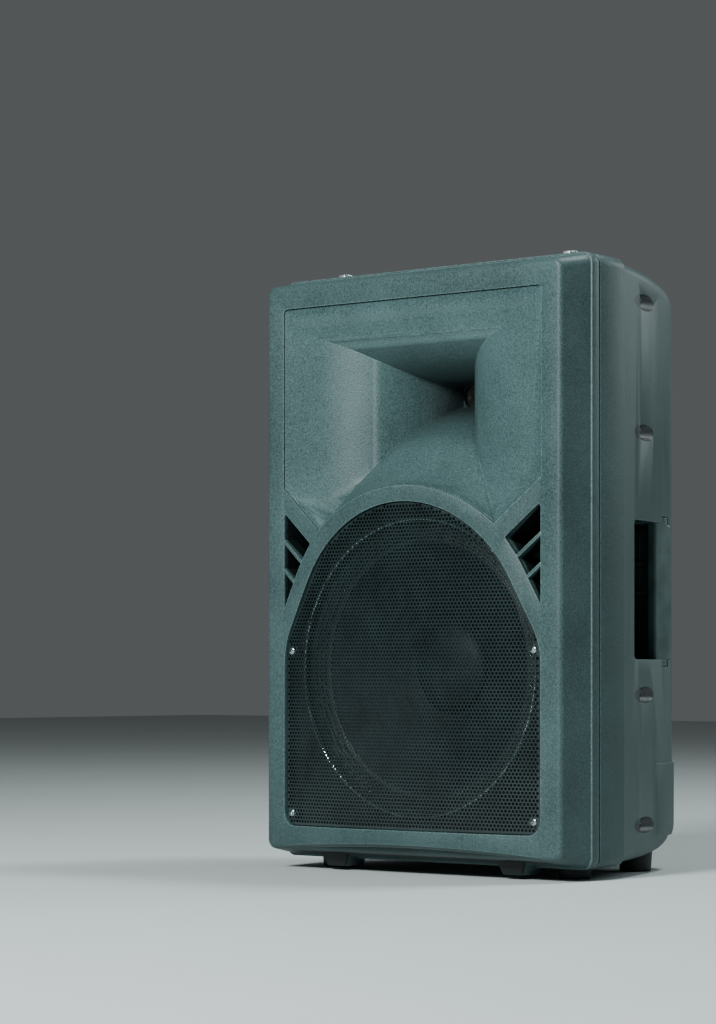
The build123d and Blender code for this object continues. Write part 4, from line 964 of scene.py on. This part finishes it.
# Motors and horn driver. Pale plated steel plates hold dark ferrite rings, copper coils hang
# in their gaps, and a drawn aluminium cover closes the horn driver. All lie in the cabinet.
def finished(material, *nodes):
    """Packed parts whose shape is right already, in a material of their own."""
    for node in nodes:
        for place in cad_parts[node].material_slots:
            place.material = material


def sintered(name, dark, light):
    body = Finish(name)
    speck = body.noise(1400.0, 2.0, 0.7)
    cloud = body.noise(40.0, 3.0)
    tone = body.spread(speck * 0.6 + cloud * 0.4, 0.35, 0.65)
    return body.dress(Base_Color=body.mix(tone, dark, light),
                      Roughness=body.roughness(speck, 0.45, 0.7),
                      Normal=body.bump(speck, 0.0001, 0.5))


def wound(name, dark, light, wire, axis):
    """Enamelled copper, one fine ridge for each turn of wire along an axis."""
    coil = Finish(name)
    along = coil.part(axis, coil.place)
    wave = coil.node("ShaderNodeMath", {"operation": "SINE"}, {0: along * (2 * pi / wire)})
    turn = wave * 0.5 + 0.5
    stain = coil.noise(60.0, 3.0)
    return coil.dress(Base_Color=coil.mix(turn * 0.6 + stain * 0.4, dark, light), Metallic=0.9,
                      Roughness=coil.roughness(stain, 0.25, 0.45),
                      Normal=coil.bump(turn, wire / 3, 0.8))


def brushed(name, dark, light, rough):
    """Drawn metal with fine level marks."""
    sheet = Finish(name)
    marks = sheet.noise(30.0, 4.0, 0.7, sheet.stretched(2.0, 2.0, 60.0))
    return sheet.dress(Base_Color=sheet.mix(marks, dark, light), Metallic=1.0,
                       Roughness=sheet.roughness(marks, rough, rough + 0.2),
                       Normal=sheet.bump(marks, 0.00005, 0.4))


plate_steel = plated("passivated_steel", (0.36, 0.38, 0.36, 1), (0.55, 0.58, 0.55, 1), 0.28)
ferrite = sintered("ferrite", (0.02, 0.021, 0.022, 1), (0.05, 0.052, 0.054, 1))
cover_metal = brushed("drawn_cover", (0.42, 0.44, 0.45, 1), (0.66, 0.68, 0.69, 1), 0.25)
dome_metal = brushed("dome_foil", (0.55, 0.55, 0.54, 1), (0.75, 0.75, 0.73, 1), 0.18)
copper_wire = wound("copper_wire", (0.42, 0.15, 0.05, 1), (0.72, 0.34, 0.16, 1), 0.0007, 1)
amber_film = pulp("amber_film", (0.24, 0.10, 0.02, 1), (0.36, 0.18, 0.05, 1), 0.3)
finished(plate_steel, "woofer_top_plate", "woofer_back_plate", "driver_front_plate",
         "driver_top_plate", "driver_pole_piece")
finished(ferrite, "woofer_magnet", "driver_magnet")
finished(copper_wire, "woofer_voice_coil")
finished(cover_metal, "driver_cover")
finished(dome_metal, "driver_diaphragm")
finished(amber_film, "driver_suspension")


# Crossover. A green board stands on plastic pillars inside the back, with wound chokes, film
# capacitors in yellow wrap and white cement resistors soldered to it.
board = Finish("crossover_board_lacquer")
flat_on = board.node("ShaderNodeMapping", None,
                     {"Vector": board.place, "Rotation": (radians(90), 0.0, 0.0)})
tracks = board.node("ShaderNodeTexBrick", {"offset": 0.35, "squash": 0.6}, {
    "Vector": flat_on, "Scale": 26.0, "Mortar Size": 0.07, "Mortar Smooth": 0.2, "Bias": 0.0,
    "Brick Width": 0.55, "Row Height": 0.3}, "Fac")
flow = board.noise(90.0, 3.0)
lacquer_green = board.mix(flow, (0.012, 0.075, 0.03, 1), (0.018, 0.10, 0.042, 1))
board_lacquer = board.dress(
    Base_Color=board.mix(tracks, lacquer_green, (0.05, 0.17, 0.07, 1)),
    Roughness=board.roughness(flow, 0.22, 0.4), Normal=board.bump(tracks, 0.00005, 0.5))
choke_wire = wound("choke_wire", (0.45, 0.17, 0.06, 1), (0.76, 0.38, 0.18, 1), 0.0013, 1)
capacitor_wrap = pulp("capacitor_wrap", (0.55, 0.38, 0.05, 1), (0.66, 0.48, 0.10, 1), 0.25)
resistor_cement = sintered("resistor_cement", (0.55, 0.54, 0.50, 1), (0.70, 0.69, 0.65, 1))
white_nylon = pulp("white_nylon", (0.60, 0.60, 0.57, 1), (0.70, 0.70, 0.67, 1), 0.35)
finished(board_lacquer, "crossover_board")
finished(choke_wire, "crossover_coils")
finished(capacitor_wrap, "crossover_capacitors")
finished(resistor_cement, "crossover_resistors")
finished(white_nylon, "crossover_standoffs")


# Connector plate. A powder coated steel plate closes the rear cutout and carries two round
# locking sockets in smooth black plastic. It has no lettering.
plate_paint = powder_coat("connector_plate_coat", (0.012, 0.018, 0.019, 1),
                          (0.022, 0.031, 0.032, 1))
moulded("connector_plate", "rear_connector_plate", plate_paint, 0.0004)
socket_gloss = Finish("socket_plastic")
socket_haze = socket_gloss.noise(300.0, 3.0)
socket_gloss = socket_gloss.dress(
    Base_Color=socket_gloss.mix(socket_haze, (0.006, 0.008, 0.009, 1), (0.013, 0.016, 0.017, 1)),
    Roughness=socket_gloss.roughness(socket_haze, 0.18, 0.32))
for side in ("left", "right"):
    moulded("speaker_socket_" + side, "round_socket_" + side, socket_gloss,
            0.0003)


# Rigging points, feet and pole socket. Each rigging point is a steel washer let into the top,
# with a low bolt in it. Rubber feet and a moulded pole socket are screwed to the underside.
rigging_metal = plated("rigging_metal", (0.42, 0.50, 0.50, 1), (0.74, 0.80, 0.80, 1), 0.3)
foot_skin = soft_black("foot_rubber", (0.007, 0.010, 0.011, 1), (0.016, 0.021, 0.022, 1), 0.55)
seal_skin = soft_black("seal_rubber", (0.004, 0.006, 0.006, 1), (0.010, 0.013, 0.014, 1), 0.6)
moulded("rigging_washers", "rigging_washer_rings", rigging_metal, 0.0004)
moulded("rigging_bolts", "rigging_bolt_set", rigging_metal, 0.0004)
finished(rigging_metal, "rigging_inserts")
moulded("rubber_feet", "round_rubber_feet", foot_skin, 0.0015, 25)
moulded("pole_socket", "pole_mount", cabinet_skin, 0.0006)
finished(seal_skin, "case_seal")


# Damping pad. A square of grey polyester wadding is stuck inside the back, behind the horn
# driver. Its faces crown, its sides pull in between the corners and its surface is uneven.
def wadding_pad(name, low, high, across):
    """A closed pad in a box, thickest in its middle and pinched along its border."""
    pull = 0.035
    lumps_per_metre = 38
    middle = (low + high) / 2
    half = (high - low) / 2
    shape = bmesh.new()
    grid = {}
    for face in (-1, 1):
        for i in range(across + 1):
            for j in range(across + 1):
                border = i in (0, across) or j in (0, across)
                if border and face > 0:
                    grid[face, i, j] = grid[-1, i, j]
                    continue
                u, v = 2 * i / across - 1, 2 * j / across - 1
                x = middle.x + half.x * u * (1 - pull * (1 - v * v))
                z = middle.z + half.z * v * (1 - pull * (1 - u * u))
                crown = 0.0 if border else ((1 - u ** 6) * (1 - v ** 6)) ** 0.42
                where = Vector((x * lumps_per_metre, face * 3.0, z * lumps_per_metre))
                lump = 0.86 + 0.14 * noise.noise(where)
                grid[face, i, j] = shape.verts.new((x, middle.y + face * half.y * crown * lump, z))
        for i in range(across):
            for j in range(across):
                shape.faces.new([grid[face, i + a, j + b]
                                 for a, b in ((0, 0), (1, 0), (1, 1), (0, 1))])
    bmesh.ops.recalc_face_normals(shape, faces=shape.faces)
    return smoothed(add_object(name, plain_mesh(name, shape)), 180)


wadding = Finish("polyester_wadding")
fluff = wadding.noise(260.0, 5.0, 0.75)
clump = wadding.noise(45.0, 3.0, 0.6)
wadding = wadding.dress(
    Base_Color=wadding.mix(fluff * 0.6 + clump * 0.4, (0.20, 0.21, 0.21, 1), (0.42, 0.43, 0.43, 1)),
    Roughness=wadding.roughness(clump, 0.9, 1.0), Normal=wadding.bump(fluff, 0.0012, 0.8))
pad = wadding_pad("wadding_pad", *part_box("damping_pad"), 44)
pad.data.materials.append(wadding)
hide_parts("damping_pad")
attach(pad, "cabinet")
